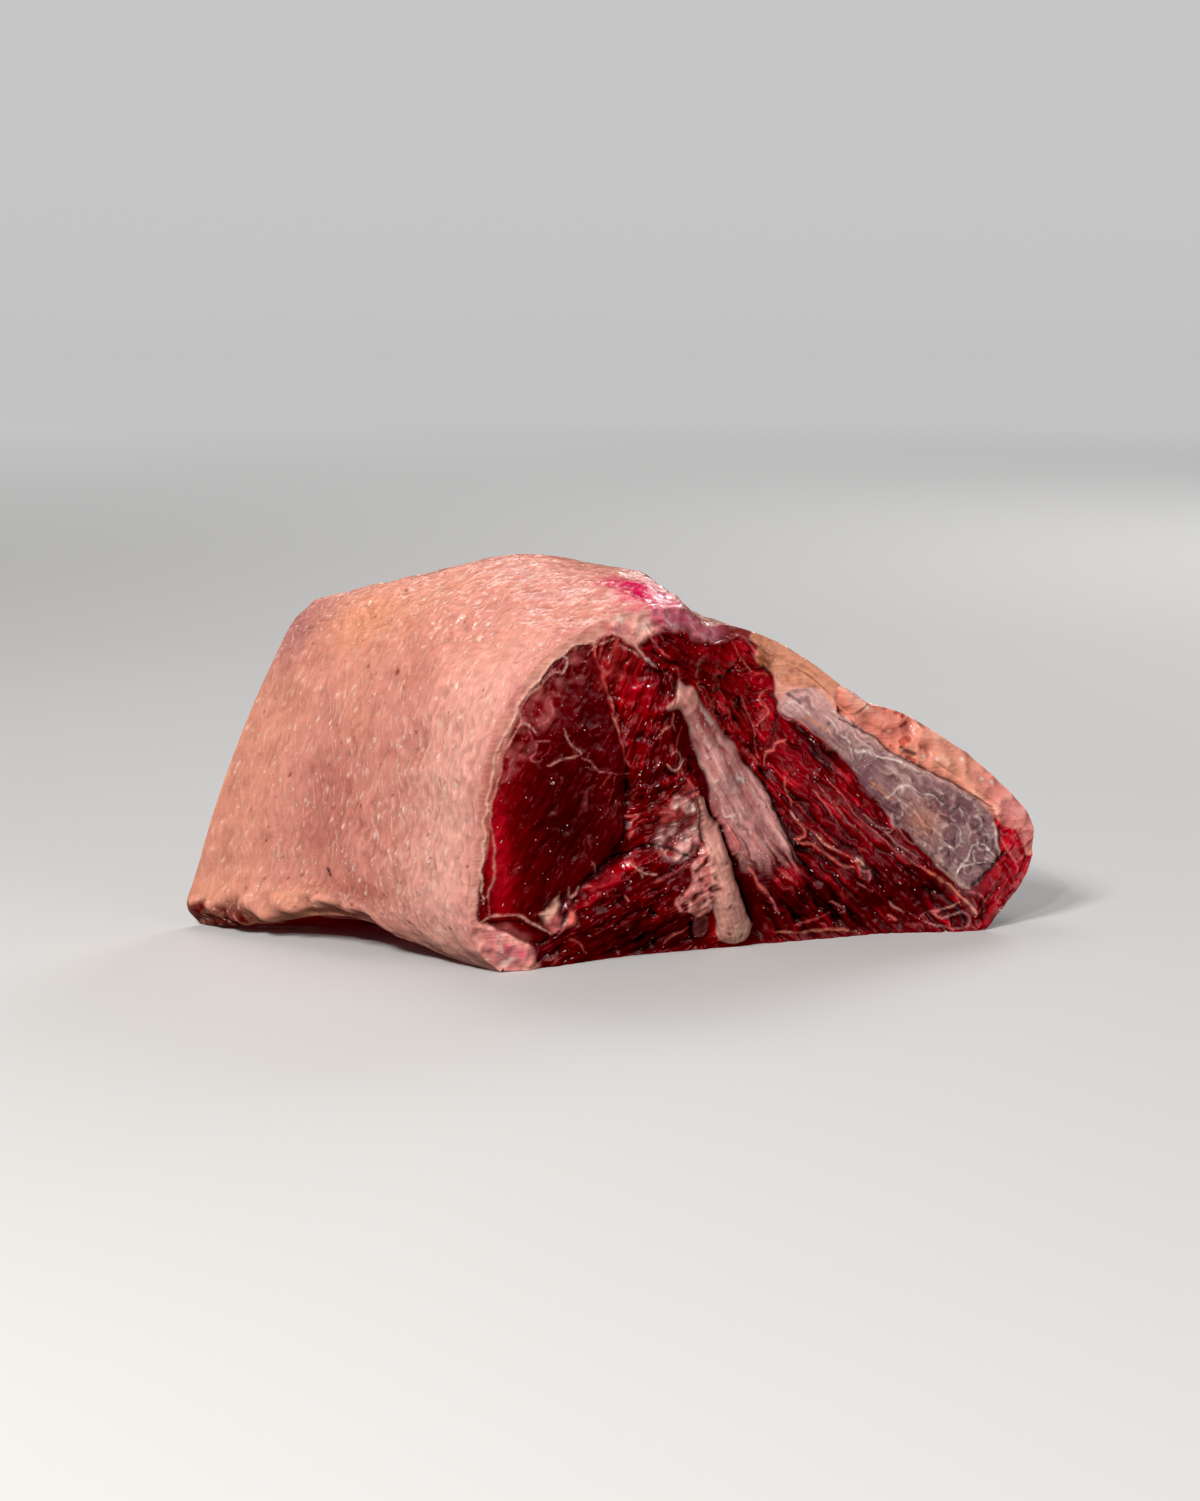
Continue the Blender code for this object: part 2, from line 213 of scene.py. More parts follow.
class Canvas:
    """A flat pattern of points with the colour, the height and the wetness painted on them."""

    def __init__(self, points, ground):
        self.x, self.y = points[:, 0], points[:, 1]
        self.colour = np.tile(np.asarray(ground, float), (len(points), 1))
        self.height = np.zeros(len(points))
        self.wet = np.full(len(points), 0.5)
        self.glint = np.zeros(len(points))
        self.heading = np.zeros(len(points))
        self.sway_x = noise(self.x / 6, self.y / 6, 901) + 0.2 * noise(self.x / 2, self.y / 2, 903)
        self.sway_y = noise(self.x / 6, self.y / 6, 902) + 0.2 * noise(self.x / 2, self.y / 2, 904)

    def lay(self, tint, cover):
        """Paints a colour where cover is 1, and part of it where cover is less."""
        self.colour += (np.asarray(tint) - self.colour) * np.clip(cover, 0, 1)[:, None]

    def shade(self, factor):
        """Darkens or lightens each point by its own factor."""
        self.colour *= factor[:, None]

    def near(self, line, reach):
        """Numbers of the points that lie in the box round a line, or within reach of that box."""
        low, high = line.min(0) - reach, line.max(0) + reach
        return np.flatnonzero((self.x > low[0]) & (self.x < high[0]) & (self.y > low[1]) & (self.y < high[1]))

    def stroke(self, points, width, end_width=None, soft=0.6, sway=0.5, broken=0.0):
        """Cover of a line whose width runs from one value to another. A broken one fades here and there."""
        line = curve(points, 1.5)
        end_width = width if end_width is None else end_width
        cover = np.zeros(len(self.x))
        pick = self.near(line, max(width, end_width) + 3 + 2 * sway)
        if len(pick):
            away, share = away_from_line(
                self.x[pick] + sway * self.sway_x[pick], self.y[pick] + sway * self.sway_y[pick], line)
            length = np.hypot(*np.diff(line, axis=0).T).sum()
            wave = noise(share * length / 2.6 + line[0, 0], share * 0 + line[0, 1], 911)
            half = (width + (end_width - width) * share) / 2 * (1 + 0.6 * broken * wave)
            half = half * smoothstep(share, -0.02, 0.12) * (1 - 0.7 * smoothstep(share, 0.8, 1.02))
            cover[pick] = 1 - smoothstep(away, half * (1 - soft), half + 0.3)
            cover[pick] *= 1 - broken * smoothstep(-wave, 0.0, 0.7)
        return cover

    def depth_in(self, outline, sway=0.8):
        """How far inside a closed outline each point lies; outside it is negative."""
        line = curve(outline, 2.5, closed=True)
        depth = np.full(len(self.x), -99.0)
        pick = self.near(line, 6 + 2 * sway)
        if len(pick):
            x = self.x[pick] + sway * self.sway_x[pick]
            y = self.y[pick] + sway * self.sway_y[pick]
            away, _ = away_from_line(x, y, np.vstack([line, line[:1]]))
            depth[pick] = np.where(within(x, y, line), away, -away)
        return depth

    def patch(self, outline, soft=0.8, sway=0.8):
        """Cover of a closed outline."""
        return smoothstep(self.depth_in(outline, sway), -soft / 2, soft / 2)

    def fibres(self, heading, width, length, seed=0, bend=1.0):
        """Noise drawn out along a heading, in degrees from "along" towards "up"."""
        turn = np.radians(heading)
        x = self.x + bend * 1.5 * self.sway_x
        y = self.y + bend * 1.5 * self.sway_y
        ahead = x * np.cos(turn) + y * np.sin(turn)
        across = y * np.cos(turn) - x * np.sin(turn)
        broad = noise(across / width, ahead / length, seed)
        return broad + 0.5 * noise(2.1 * across / width, 2.1 * ahead / length, seed + 1)

    def mottle(self, size, seed=0, octaves=3):
        """Soft cloudy noise of about the given size."""
        return fractal(self.x / size, self.y / size, seed, octaves)

    def threads(self, heading, spacing, length, thin, seed=0):
        """Cover of thin wandering lines along a heading, which fade here and there."""
        wave = self.fibres(heading, spacing, length, seed, 1.6)
        line = 1 - smoothstep(np.abs(wave), 0, thin)
        return line * smoothstep(self.mottle(6, seed + 7), -0.1, 0.5)

    def specks(self, spacing, size, share, seed=0, heading=0, stretch=1.0):
        """Cover of small scattered spots, drawn out along a heading."""
        turn = np.radians(heading)
        ahead = (self.x * np.cos(turn) + self.y * np.sin(turn)) / stretch
        across = self.y * np.cos(turn) - self.x * np.sin(turn)
        first, number = cells(ahead / spacing, across / spacing, seed)
        radius = size * (0.5 + number * 0.9) / spacing
        spot = 1 - smoothstep(first, radius * 0.45, radius)
        return spot * (np.modf(number * 37.7)[0] < share)


# The joint's form

def section_places(points, base_end, at):
    """Places on a section at the given stations: a smooth curve over the skin, straight along the base."""
    points = np.asarray(points, float)
    skin = np.vstack([2 * points[0] - points[1], points, 2 * points[-1] - points[-2]])
    span = np.clip(np.floor(at).astype(int), 0, NOSE_FOOT - 1)
    f = (at - span)[:, None]
    a, b, c, d = (skin[span + k] for k in range(4))
    bent = 0.5 * (2 * b + (c - a) * f + (2 * a - 5 * b + 4 * c - d) * f**2 + (3 * b - a - 3 * c + d) * f**3)
    base = np.array([points[-1], (base_end, 0), points[0]])
    turns = [NOSE_FOOT, ROUND - 1, ROUND]
    straight = np.column_stack([np.interp(at, turns, base[:, axis]) for axis in (0, 1)])
    return np.where((at <= NOSE_FOOT)[:, None], bent, straight)


def section_normals(points, base_end, at):
    """Outward normals of a section. They turn from the base's to the low edge's just before it closes."""
    step = 0.12
    held = np.where(at > ROUND - 0.01, 0, at)
    behind = section_places(points, base_end, np.clip(held - step, 0, ROUND))
    ahead = section_places(points, base_end, np.clip(held + step, 0, ROUND))
    way = ahead - behind
    way /= np.linalg.norm(way, axis=1)[:, None]
    normal = np.column_stack([-way[:, 1], way[:, 0]])
    first = section_places(points, base_end, np.array([0.0, step]))
    edge = (first[1] - first[0]) / np.linalg.norm(first[1] - first[0])
    turn = smoothstep(at, ROUND - 0.06, ROUND)[:, None]
    return normal * (1 - turn) + np.array([-edge[1], edge[0]]) * turn


def lump_height(at, sweep):
    """How far the broad lumps of the fat stand out at stations and shares of the sweep."""
    total = np.zeros_like(at)
    for first, last, start, end, height, round_waves, sweep_waves in LUMPS:
        window = smoothstep(at, first, first + 0.6) * (1 - smoothstep(at, last - 0.6, last))
        window = window * smoothstep(sweep, start, start + 0.15) * (1 - smoothstep(sweep, end - 0.2, end))
        wave = np.sin(round_waves * at + 9 * sweep) * np.cos(sweep_waves * 2 * np.pi * sweep + 1.7 * at)
        total += height * window * (0.5 + wave)
    return total


def low_edge_lift(at, sweep):
    """How far the fat cap's low edge is lifted off the table, half-way along its length."""
    last = ROUND - 1
    weight = np.interp(at, [0, 1, 2, 3, last, ROUND], [1, 0.6, 0.2, 0, 0, 1])
    return LIFT * weight * np.exp(-(((sweep - LIFT_PLACE) / LIFT_SPREAD) ** 2))


def skin_places(at, sweep, inset):
    """(along, up) of points that lie the given depth under the joint's skin, at stations and shares."""
    drawn = (NEAR_SECTION, MIDDLE_SECTION, LATE_SECTION, FAR_SECTION)
    spots = [
        section_places(points, end, at) - section_normals(points, end, at) * inset[:, None]
        for points, end in zip(drawn, BASE_ENDS)
    ]
    places = np.array(SECTION_PLACES)
    slopes = [(b - a) / step for a, b, step in zip(spots, spots[1:], np.diff(places))]
    tangents = [slopes[0] * 1.3] + [(a + b) / 2 for a, b in zip(slopes, slopes[1:])] + [slopes[-1]]
    result = np.zeros_like(spots[0])
    span = np.clip(np.searchsorted(places, sweep, side="right") - 1, 0, len(slopes) - 1)
    for i, step in enumerate(np.diff(places)):
        pick = span == i
        f = ((sweep[pick] - places[i]) / step)[:, None]
        result[pick] = (
            spots[i][pick] * (2 * f**3 - 3 * f**2 + 1) + tangents[i][pick] * step * (f**3 - 2 * f**2 + f)
            + spots[i + 1][pick] * (3 * f**2 - 2 * f**3) + tangents[i + 1][pick] * step * (f**3 - f**2))
    result[:, 1] += low_edge_lift(at, sweep)
    result[:, 1] = np.maximum(result[:, 1], 0)
    return result


def face_depth(along, up):
    """How far the near cut lies behind the upright plane through the front corner."""
    tail = TAIL_LEAN * smoothstep(along, TAIL_START, TAIL_FULL) * up
    middle = smoothstep(along, 5, 60) * (1 - smoothstep(along, 150, 196))
    return tail + FOOT_RECESS * middle * (1 - smoothstep(up, 0, 26))


def face_relief(along, up):
    """The broad ridges and furrows of the near cut."""
    total = np.zeros_like(along)
    for (a0, u0), (a1, u1), half_width, height in FACE_RELIEF:
        way = np.array([a1 - a0, u1 - u0])
        share = np.clip(((along - a0) * way[0] + (up - u0) * way[1]) / (way @ way), 0, 1)
        away = np.hypot(along - a0 - share * way[0], up - u0 - share * way[1])
        total -= height * np.exp(-((away / half_width) ** 2))
    return total


def to_world(places, sweep, depth):
    """Positions in metres of (along, up) places at a share of the sweep and a depth behind the cut."""
    start = np.array([*FRONT_CORNER, 0.0])
    return (
        start + places[:, :1] * CUT_WAY + places[:, 1:2] * UP
        + (sweep * SWEEP_LENGTH)[:, None] * SWEEP_WAY + depth[:, None] * INWARD) * MM


# Stations round a section at even steps, from the arc lengths of the near section.
FINE_AT = np.linspace(0, ROUND, 2701)
FINE_PLACES = section_places(NEAR_SECTION, BASE_ENDS[0], FINE_AT)
FINE_ARC = np.concatenate([[0], np.cumsum(np.hypot(*np.diff(FINE_PLACES, axis=0).T))])


def even_stations(first, last, step):
    """Stations round a section at an even spacing in millimetres."""
    start, end = np.interp([first, last], FINE_AT, FINE_ARC)
    count = max(2, int(round((end - start) / step)) + 1)
    return np.interp(np.linspace(start, end, count), FINE_ARC, FINE_AT)


def thickness(at):
    """How thick the fat cap is at stations round the section."""
    return np.interp(at, np.arange(FAT_END + 1), FAT_THICKNESS)


# Meshes

def triangles(rim, inner):
    """Triangles over a closed rim and the points inside it, the rim's points first."""
    points = np.vstack([rim, inner])
    edges = [(k, (k + 1) % len(rim)) for k in range(len(rim))]
    corners = [Vector(point) for point in points.tolist()]
    places, _, faces, *_ = geometry.delaunay_2d_cdt(corners, edges, [], 0, 1e-7, False)
    if len(places) != len(points):
        raise ValueError("the rim crosses itself or has points that coincide")
    faces = np.array(faces)
    others = np.roll(faces, -1, 1)
    sides = (np.minimum(faces, others) * len(points) + np.maximum(faces, others)).ravel()
    turns = np.arange(len(rim))
    ends = (turns + 1) % len(rim)
    fence = np.isin(sides, np.minimum(turns, ends) * len(points) + np.maximum(turns, ends))
    order = np.argsort(sides, kind="stable")
    pairs = np.flatnonzero(sides[order][1:] == sides[order][:-1])
    beside = np.full(len(sides), -1)
    beside[order[pairs]], beside[order[pairs + 1]] = order[pairs + 1] // 3, order[pairs] // 3
    # What can be reached from outside without crossing the rim is left out.
    outside = ((beside < 0) & ~fence).reshape(-1, 3).any(1)
    ahead = np.flatnonzero(outside).tolist()
    while ahead:
        face = ahead.pop()
        for side in range(3 * face, 3 * face + 3):
            if not fence[side] and beside[side] >= 0 and not outside[beside[side]]:
                outside[beside[side]] = True
                ahead.append(int(beside[side]))
    return points, faces[~outside]


def honeycomb(low, high, step):
    """Points of a honeycomb over a box, slightly shaken so that no rows show."""
    across = np.arange(low[0], high[0] + step, step)
    rows = np.arange(low[1], high[1] + step, step * 0.866)
    grid = np.stack(np.meshgrid(across, rows), -1)
    grid[1::2, :, 0] += step / 2
    grid = grid.reshape(-1, 2)
    cell = np.round(grid / step * 4)
    shake = np.column_stack([scatter(cell[:, 0], cell[:, 1], seed) for seed in (5, 6)]) - 0.5
    return grid + shake * step * 0.25


def fill(rim, zones):
    """Points inside a rim. Each zone has a spacing and a test that says which points it keeps."""
    tree = kdtree.KDTree(len(rim))
    for k, (x, y) in enumerate(rim.tolist()):
        tree.insert((x, y, 0), k)
    tree.balance()
    kept = []
    for step, keeps in zones:
        grid = honeycomb(rim.min(0), rim.max(0), step)
        grid = grid[keeps(grid[:, 0], grid[:, 1])]
        grid = grid[within(grid[:, 0], grid[:, 1], rim)]
        gap = np.array([tree.find((x, y, 0))[2] for x, y in grid.tolist()])
        kept.append(grid[gap > 0.6 * min(step, 1.2)])
    return np.vstack(kept)


class Loop:
    """The line round a section that a piece's side follows: a station and a depth under the skin."""

    def __init__(self, at, inset):
        self.at, self.inset = np.asarray(at), np.asarray(inset)
        places = skin_places(self.at, np.zeros_like(self.at), self.inset)
        gaps = np.hypot(*np.diff(places, axis=0).T)
        self.reach = np.concatenate([[0], np.cumsum(gaps)])
        self.near = places[:-1]  # the last point closes on the first
        self.far = skin_places(self.at, np.ones_like(self.at), self.inset)[:-1]

    def tube(self, zones, side_step):
        """The side's flat pattern, (reach, distance swept), with its rim first."""
        rows = np.linspace(0, SWEEP_LENGTH, int(SWEEP_LENGTH / side_step) + 1)
        self.rows = len(rows) - 2
        width = self.reach[-1]
        rim = np.vstack([
            np.column_stack([self.reach, np.zeros(len(self.reach))]),
            np.column_stack([np.full(len(rows) - 2, width), rows[1:-1]]),
            np.column_stack([self.reach, np.full(len(self.reach), SWEEP_LENGTH)])[::-1],
            np.column_stack([np.zeros(len(rows) - 2), rows[1:-1]])[::-1],
        ])
        return triangles(rim, fill(rim, zones))

    def read(self, reach):
        """The station and the depth under the skin at distances round the loop."""
        return np.interp(reach, self.reach, self.at), np.interp(reach, self.reach, self.inset)


def joined(name, sheets, finish):
    """One closed mesh from sheets of (positions, triangles, canvas) whose rims meet."""
    positions = np.vstack([s[0] for s in sheets])
    starts = np.cumsum([0] + [len(s[0]) for s in sheets])
    faces = np.vstack([s[1] + start for s, start in zip(sheets, starts)])
    _, first, merged = np.unique(np.round(positions / MM, 4), axis=0, return_index=True, return_inverse=True)
    faces = merged.ravel()[faces]
    whole = (faces[:, 0] != faces[:, 1]) & (faces[:, 1] != faces[:, 2]) & (faces[:, 2] != faces[:, 0])
    faces = faces[whole]
    mesh = bpy.data.meshes.new(name)
    mesh.from_pydata(positions[first].tolist(), [], faces.tolist())
    paint = np.vstack([s[2].colour for s in sheets])[first]
    wet = np.concatenate([s[2].wet for s in sheets])[first]
    turn = np.radians(np.concatenate([s[2].heading for s in sheets])[first])
    x = np.concatenate([s[2].x for s in sheets])[first]
    y = np.concatenate([s[2].y for s in sheets])[first]
    layer = mesh.attributes.new("paint", "FLOAT_COLOR", "POINT")
    layer.data.foreach_set("color", np.column_stack([np.maximum(paint, 0), np.ones(len(paint))]).ravel())
    layer = mesh.attributes.new("wet", "FLOAT", "POINT")
    layer.data.foreach_set("value", wet)
    layer = mesh.attributes.new("glint", "FLOAT", "POINT")
    layer.data.foreach_set("value", np.concatenate([s[2].glint for s in sheets])[first])
    layer = mesh.attributes.new("grain", "FLOAT_VECTOR", "POINT")
    grain = np.column_stack([x * np.cos(turn) + y * np.sin(turn), y * np.cos(turn) - x * np.sin(turn), 0 * x])
    layer.data.foreach_set("vector", grain.ravel())
    shape = bmesh.new()
    shape.from_mesh(mesh)
    bmesh.ops.recalc_face_normals(shape, faces=shape.faces)
    shape.to_mesh(mesh)
    shape.free()
    mesh.shade_smooth()
    mesh.set_sharp_from_angle(angle=math.radians(65))
    mesh.materials.append(finish)
    made = bpy.data.objects.new(name, mesh)
    bpy.context.scene.collection.objects.link(made)
    return made


def hollows(height, faces, rounds):
    """How far each point lies under the mean of its surroundings."""
    ends = np.vstack([faces[:, [0, 1]], faces[:, [1, 2]], faces[:, [2, 0]]])
    count = np.bincount(ends.ravel(), minlength=len(height))
    mean = height.copy()
    for _ in range(rounds):
        total = np.bincount(ends[:, 0], mean[ends[:, 1]], len(height))
        total += np.bincount(ends[:, 1], mean[ends[:, 0]], len(height))
        mean = total / np.maximum(count, 1)
    return mean - height


# Shaders

class Number:
    """A shader's number socket that takes part in arithmetic."""

    def __init__(self, finish, socket):
        self.finish, self.socket = finish, socket

    def maths(self, operation, *values):
        return self.finish.node("ShaderNodeMath", {"operation": operation}, dict(enumerate(values)))

    def __add__(self, other):
        return self.maths("ADD", self, other)

    def __sub__(self, other):
        return self.maths("SUBTRACT", self, other)

    def __rsub__(self, other):
        return self.maths("SUBTRACT", other, self)

    def __mul__(self, other):
        return self.maths("MULTIPLY", self, other)

    __radd__ = __add__
    __rmul__ = __mul__


class Finish:
    """A material and the nodes that make it."""

    def __init__(self, name):
        self.material = bpy.data.materials.new(name)
        self.material.use_nodes = True
        self.tree = self.material.node_tree
        self.shader = self.tree.nodes["Principled BSDF"]

    def node(self, kind, settings, values, output=0):
        """A node of a type, its settings set first, then the values or links of its sockets."""
        made = self.tree.nodes.new(kind)
        for name, value in settings.items():
            setattr(made, name, value)
        self.set(made, values)
        return Number(self, made.outputs[output])

    def set(self, node, values):
        """Gives a node's sockets their values or links."""
        for name, value in values.items():
            if isinstance(value, Number):
                self.tree.links.new(value.socket, node.inputs[name])
            else:
                node.inputs[name].default_value = value

    def noise(self, vector, scale, detail=3.0, roughness=0.5):
        """Noise over the given places, from 0 to 1."""
        return self.node("ShaderNodeTexNoise", {}, {
            "Vector": vector, "Scale": scale, "Detail": detail, "Roughness": roughness})

    def mix(self, share, below, above):
        """One colour over another, by a share from 0 to 1."""
        return self.node("ShaderNodeMix", {"data_type": "RGBA"}, {0: share, 6: below, 7: above}, 2)

    def stretched(self, vector, factors):
        """The places a texture is read at, scaled by each axis."""
        return self.node("ShaderNodeVectorMath", {"operation": "MULTIPLY"}, {0: vector, 1: factors})


# The near-white of the painted glint dots on wet tissue.
DROPLET_GLINT = (0.97, 0.78, 0.7, 1)


def meat_finish(name, roughness, gloss, coat, subsurface, radius, bump, fibre_size, contrast, light):
    """Wet tissue: the painted colour with fine streaks along its grain, painted highlight streaks, and small
    glints where it is wet, painted as near-white dots.
    """
    made = Finish(name)
    paint = made.node("ShaderNodeAttribute", {"attribute_name": "paint"}, {}, "Color")
    wet = made.node("ShaderNodeAttribute", {"attribute_name": "wet"}, {}, "Fac")
    glint = made.node("ShaderNodeAttribute", {"attribute_name": "glint"}, {}, "Fac")
    grain = made.node("ShaderNodeAttribute", {"attribute_name": "grain"}, {}, "Vector")
    streaks = made.noise(made.stretched(grain, (1 / fibre_size[1], 1 / fibre_size[0], 1)), 1.0, 2.0, 0.5)
    pores = made.noise(grain, 0.7, 3.0, 0.5)
    patches = made.noise(grain, 0.22, 3.0, 0.55)
    tone = 1 + contrast * (streaks - 0.5) + 0.4 * contrast * (pores - 0.5)
    tinted = made.node("ShaderNodeVectorMath", {"operation": "SCALE"}, {0: paint, "Scale": tone})
    # Painted highlight streaks: where the grain streaks peak and the glint attribute is high, the colour is
    # mixed towards the light tint; on the lean they are partly paler fibres.
    lit = made.node("ShaderNodeMapRange", {"interpolation_type": "SMOOTHSTEP"}, {
        "Value": streaks + 0.4 * patches, "From Min": 0.76, "From Max": 0.92})
    highlight_streaked = made.mix(0.85 * lit * glint, tinted, light)
    # Painted highlights: small near-white dots stand for glints off wet droplets; they are also raised a
    # little in the bump.
    glint_beads = 0
    for spread, size in (((0.3, 0.36, 1), 0.24), ((0.12, 0.5, 1), 0.2)):
        away = made.node("ShaderNodeTexVoronoi", {}, {"Vector": made.stretched(grain, spread), "Scale": 1.0})
        glint_beads = glint_beads + made.node("ShaderNodeMapRange", {"interpolation_type": "SMOOTHSTEP"}, {
            "Value": away - size * (patches - 0.42) - 0.05 * glint, "From Min": 0.05, "From Max": 0.01})
    glint_beaded = made.mix(0.85 * glint_beads, highlight_streaked, DROPLET_GLINT)
    slick = made.node("ShaderNodeMapRange", {"interpolation_type": "SMOOTHSTEP"}, {
        "Value": patches + 0.3 * glint + 0.1 * wet, "From Min": 0.55, "From Max": 0.85})
    relief = made.node("ShaderNodeBump", {}, {
        "Strength": bump, "Distance": 0.001, "Height": 0.5 * streaks + 0.4 * pores + 0.6 * glint_beads})
    made.set(made.shader, {
        "Base Color": glint_beaded,
        "Roughness": roughness * (1.5 - 0.9 * slick),
        "Coat Weight": coat * slick,
        "Normal": relief,
        "Coat Roughness": 0.07,
        "Subsurface Weight": subsurface,
        "Subsurface Radius": radius,
        "Subsurface Scale": 0.001,
        "Specular IOR Level": gloss,
    })
    return made.material


# Tints of the lean, the fat, the sinew and the silverskin, and of the painted highlights on them.

RIM_FAT = colour(254, 184, 166)
SKIN_PINK = colour(222, 146, 130)
SKIN_PEACH = colour(228, 154, 126)
SKIN_DEEP = colour(178, 98, 84)
SKIN_GREY = colour(170, 106, 108)
SKIN_ROSE = colour(216, 130, 124)
# Near-white of the painted wet highlights on the fat.
WET_HIGHLIGHT = colour(252, 218, 200)
BLOOD_SPOT = colour(120, 26, 26)
BEIGE_FAT = colour(218, 140, 104)
TAN = colour(150, 84, 58)
CORAL = colour(236, 112, 96)
PINK_FAT = colour(232, 128, 132)
WET_PINK = colour(250, 128, 148)
MAGENTA = colour(216, 8, 84)
RED_FAT = colour(206, 62, 56)
MAROON = colour(92, 0, 8)
DARK_RED = colour(118, 2, 12)
RED = colour(166, 5, 20)
BRIGHT_RED = colour(206, 18, 36)
SILVER = colour(206, 162, 156)
LILAC = colour(120, 76, 84)
SINEW_PINK = colour(200, 104, 100)
SINEW_PALE = colour(244, 176, 168)
GRISTLE_BEIGE = colour(246, 176, 158)
GRISTLE_GREY = colour(192, 128, 116)
CREAM = colour(236, 184, 160)
WHITE = colour(252, 232, 218)
BLACK_RED = colour(16, 0, 2)
THREAD = colour(196, 92, 88)

# The near cut. Places are (along, up) in millimetres.

LEAN_OUTLINE = [(-8, 20), (-4, 50), (0, 76), (11, 101), (26, 117), (50, 119), (74, 121), (104, 115),
                (121, 105), (122, 88), (150, 62), (180, 28), (206, 40), (224, 34), (219, 18), (202, -3),
                (20, -3), (12, 12)]
# Muscles: outline, heading of the fibres in degrees, fibre width, deep and light tint, contrast, glints.
MUSCLES = [
    ([(-8, 27), (-6, 40), (-4, 50), (-3.5, 62), (-1, 72), (2, 82), (5, 91), (11, 101), (18, 109),
      (26, 117), (34, 120), (38, 116), (40, 106), (43, 96), (46, 86), (50, 73), (51, 60), (46, 46),
      (37, 37), (28, 27), (20, 21), (12, 19), (3, 21), (-6, 20)], 58, 1.5, MAROON, DARK_RED, 0.4, 0.05),
    ([(36, 118), (42, 123), (48, 120), (54, 113), (60, 110), (68, 108), (72, 99), (66, 92), (68, 80),
      (76, 72), (66, 60), (52, 62), (50, 74), (46, 86), (42, 97), (39, 110)],
     72, 1.2, MAROON, RED, 1.0, 0.6),
    ([(55, 118), (60, 125), (74, 122), (88, 118), (104, 115), (116, 108), (121, 100), (119, 90),
      (108, 86), (98, 86), (90, 88), (80, 97), (72, 103), (62, 110)], -26, 1.5, MAROON, RED, 1.1, 0.4),
    ([(80, 98), (90, 96), (104, 92), (117, 92), (118, 80), (112, 68), (118, 54), (116, 44), (108, 60),
      (97, 76), (88, 86)], -52, 1.4, MAROON, RED, 1.3, 0.3),
    ([(112, 68), (117, 73), (121, 86), (128, 81), (136, 75), (146, 65), (153, 56), (161, 45), (168, 38),
      (180, 26), (193, 13), (190, -2), (160, -2), (134, -2), (108, -2), (104, 12), (114, 28), (119, 42)],
     -46, 1.9, MAROON, DARK_RED, 1.4, 0.16),
    ([(8, -3), (14, 6), (20, 14), (24, 20), (30, 28), (42, 36), (54, 42), (70, 46), (81, 44), (85, 30),
      (82, 16), (90, -3), (60, -3), (30, -3)], 24, 2.0, MAROON, DARK_RED, 1.0, 0.5),
    ([(50, 64), (60, 66), (74, 70), (80, 60), (80, 44), (66, 44), (54, 40), (48, 44)],
     20, 1.5, MAROON, RED, 1.1, 0.7),
    ([(186, -3), (196, 12), (203, 22), (207, 30), (206, 40), (213, 38), (224, 34), (219, 18), (202, -3)],
     40, 1.8, DARK_RED, BRIGHT_RED, 0.9, 0.4),
]
# Places where a muscle is redder or darker than its own tint: middle, half sizes, heading, tint, strength.
# The broad dark ones at (48, 12), (140, 12) and (60, 78) are painted shade.
BLOOMS_AND_SHADE = [
    ((0, 42), (5, 34), 4, RED, 0.8), ((4, 72), (5, 12), -20, RED, 0.45),
    ((14, 96), (9, 6), 30, RED, 0.35), ((30, 34), (10, 3), 35, RED, 0.7),
    ((44, 112), (7, 8), 0, RED_FAT, 0.35), ((58, 96), (6, 9), 20, RED, 0.6),
    ((54, 102), (4, 10), 70, BRIGHT_RED, 0.45), ((82, 112), (13, 3.4), -24, BRIGHT_RED, 0.6),
    ((84, 106), (12, 5), -20, BLACK_RED, 0.4), ((96, 103), (7, 3), -20, BRIGHT_RED, 0.55),
    ((111, 97), (8, 3), -20, BRIGHT_RED, 0.5), ((62, 104), (5, 4), 0, BLACK_RED, 0.5),
    ((115, 86), (4, 8), 10, BRIGHT_RED, 0.6), ((60, 16), (16, 4), 10, RED, 0.5),
    ((36, 8), (10, 3), 8, RED, 0.5), ((140, 52), (14, 5), -50, RED, 0.35),
    ((160, 30), (18, 5), -42, BLACK_RED, 0.45), ((130, 14), (18, 8), 0, BLACK_RED, 0.6),
    ((25, 58), (12, 18), 0, BLACK_RED, 0.28), ((34, 90), (5, 18), 0, BLACK_RED, 0.3),
    ((210, 32), (4.5, 4), 20, BRIGHT_RED, 0.8), ((202, 20), (9, 2.4), 32, BRIGHT_RED, 0.6),
    ((118, 25), (4, 3), 0, BRIGHT_RED, 0.7), ((24, 52), (15, 24), 10, BLACK_RED, 0.45),
    ((-1, 44), (3.4, 26), 4, BRIGHT_RED, 0.55), ((56, 62), (8, 12), 10, BLACK_RED, 0.6),
    ((106, 110), (10, 3.4), -28, BRIGHT_RED, 0.7), ((50, 12), (14, 5), 10, BLACK_RED, 0.4),
    ((150, 34), (12, 3), -44, BRIGHT_RED, 0.3), ((124, 66), (4, 12), 30, BRIGHT_RED, 0.35),
    ((40, 28), (14, 3), 38, BRIGHT_RED, 0.5), ((86, 8), (1.6, 6), 10, BRIGHT_RED, 0.9),
    ((66, 56), (6, 8), 0, RED_FAT, 0.4), ((48, 12), (40, 13), 5, BLACK_RED, 0.3),
    ((140, 12), (46, 15), 0, BLACK_RED, 0.38), ((60, 78), (8, 20), 10, BLACK_RED, 0.25),
    ((150, 30), (30, 8), -44, BLACK_RED, 0.25),
]
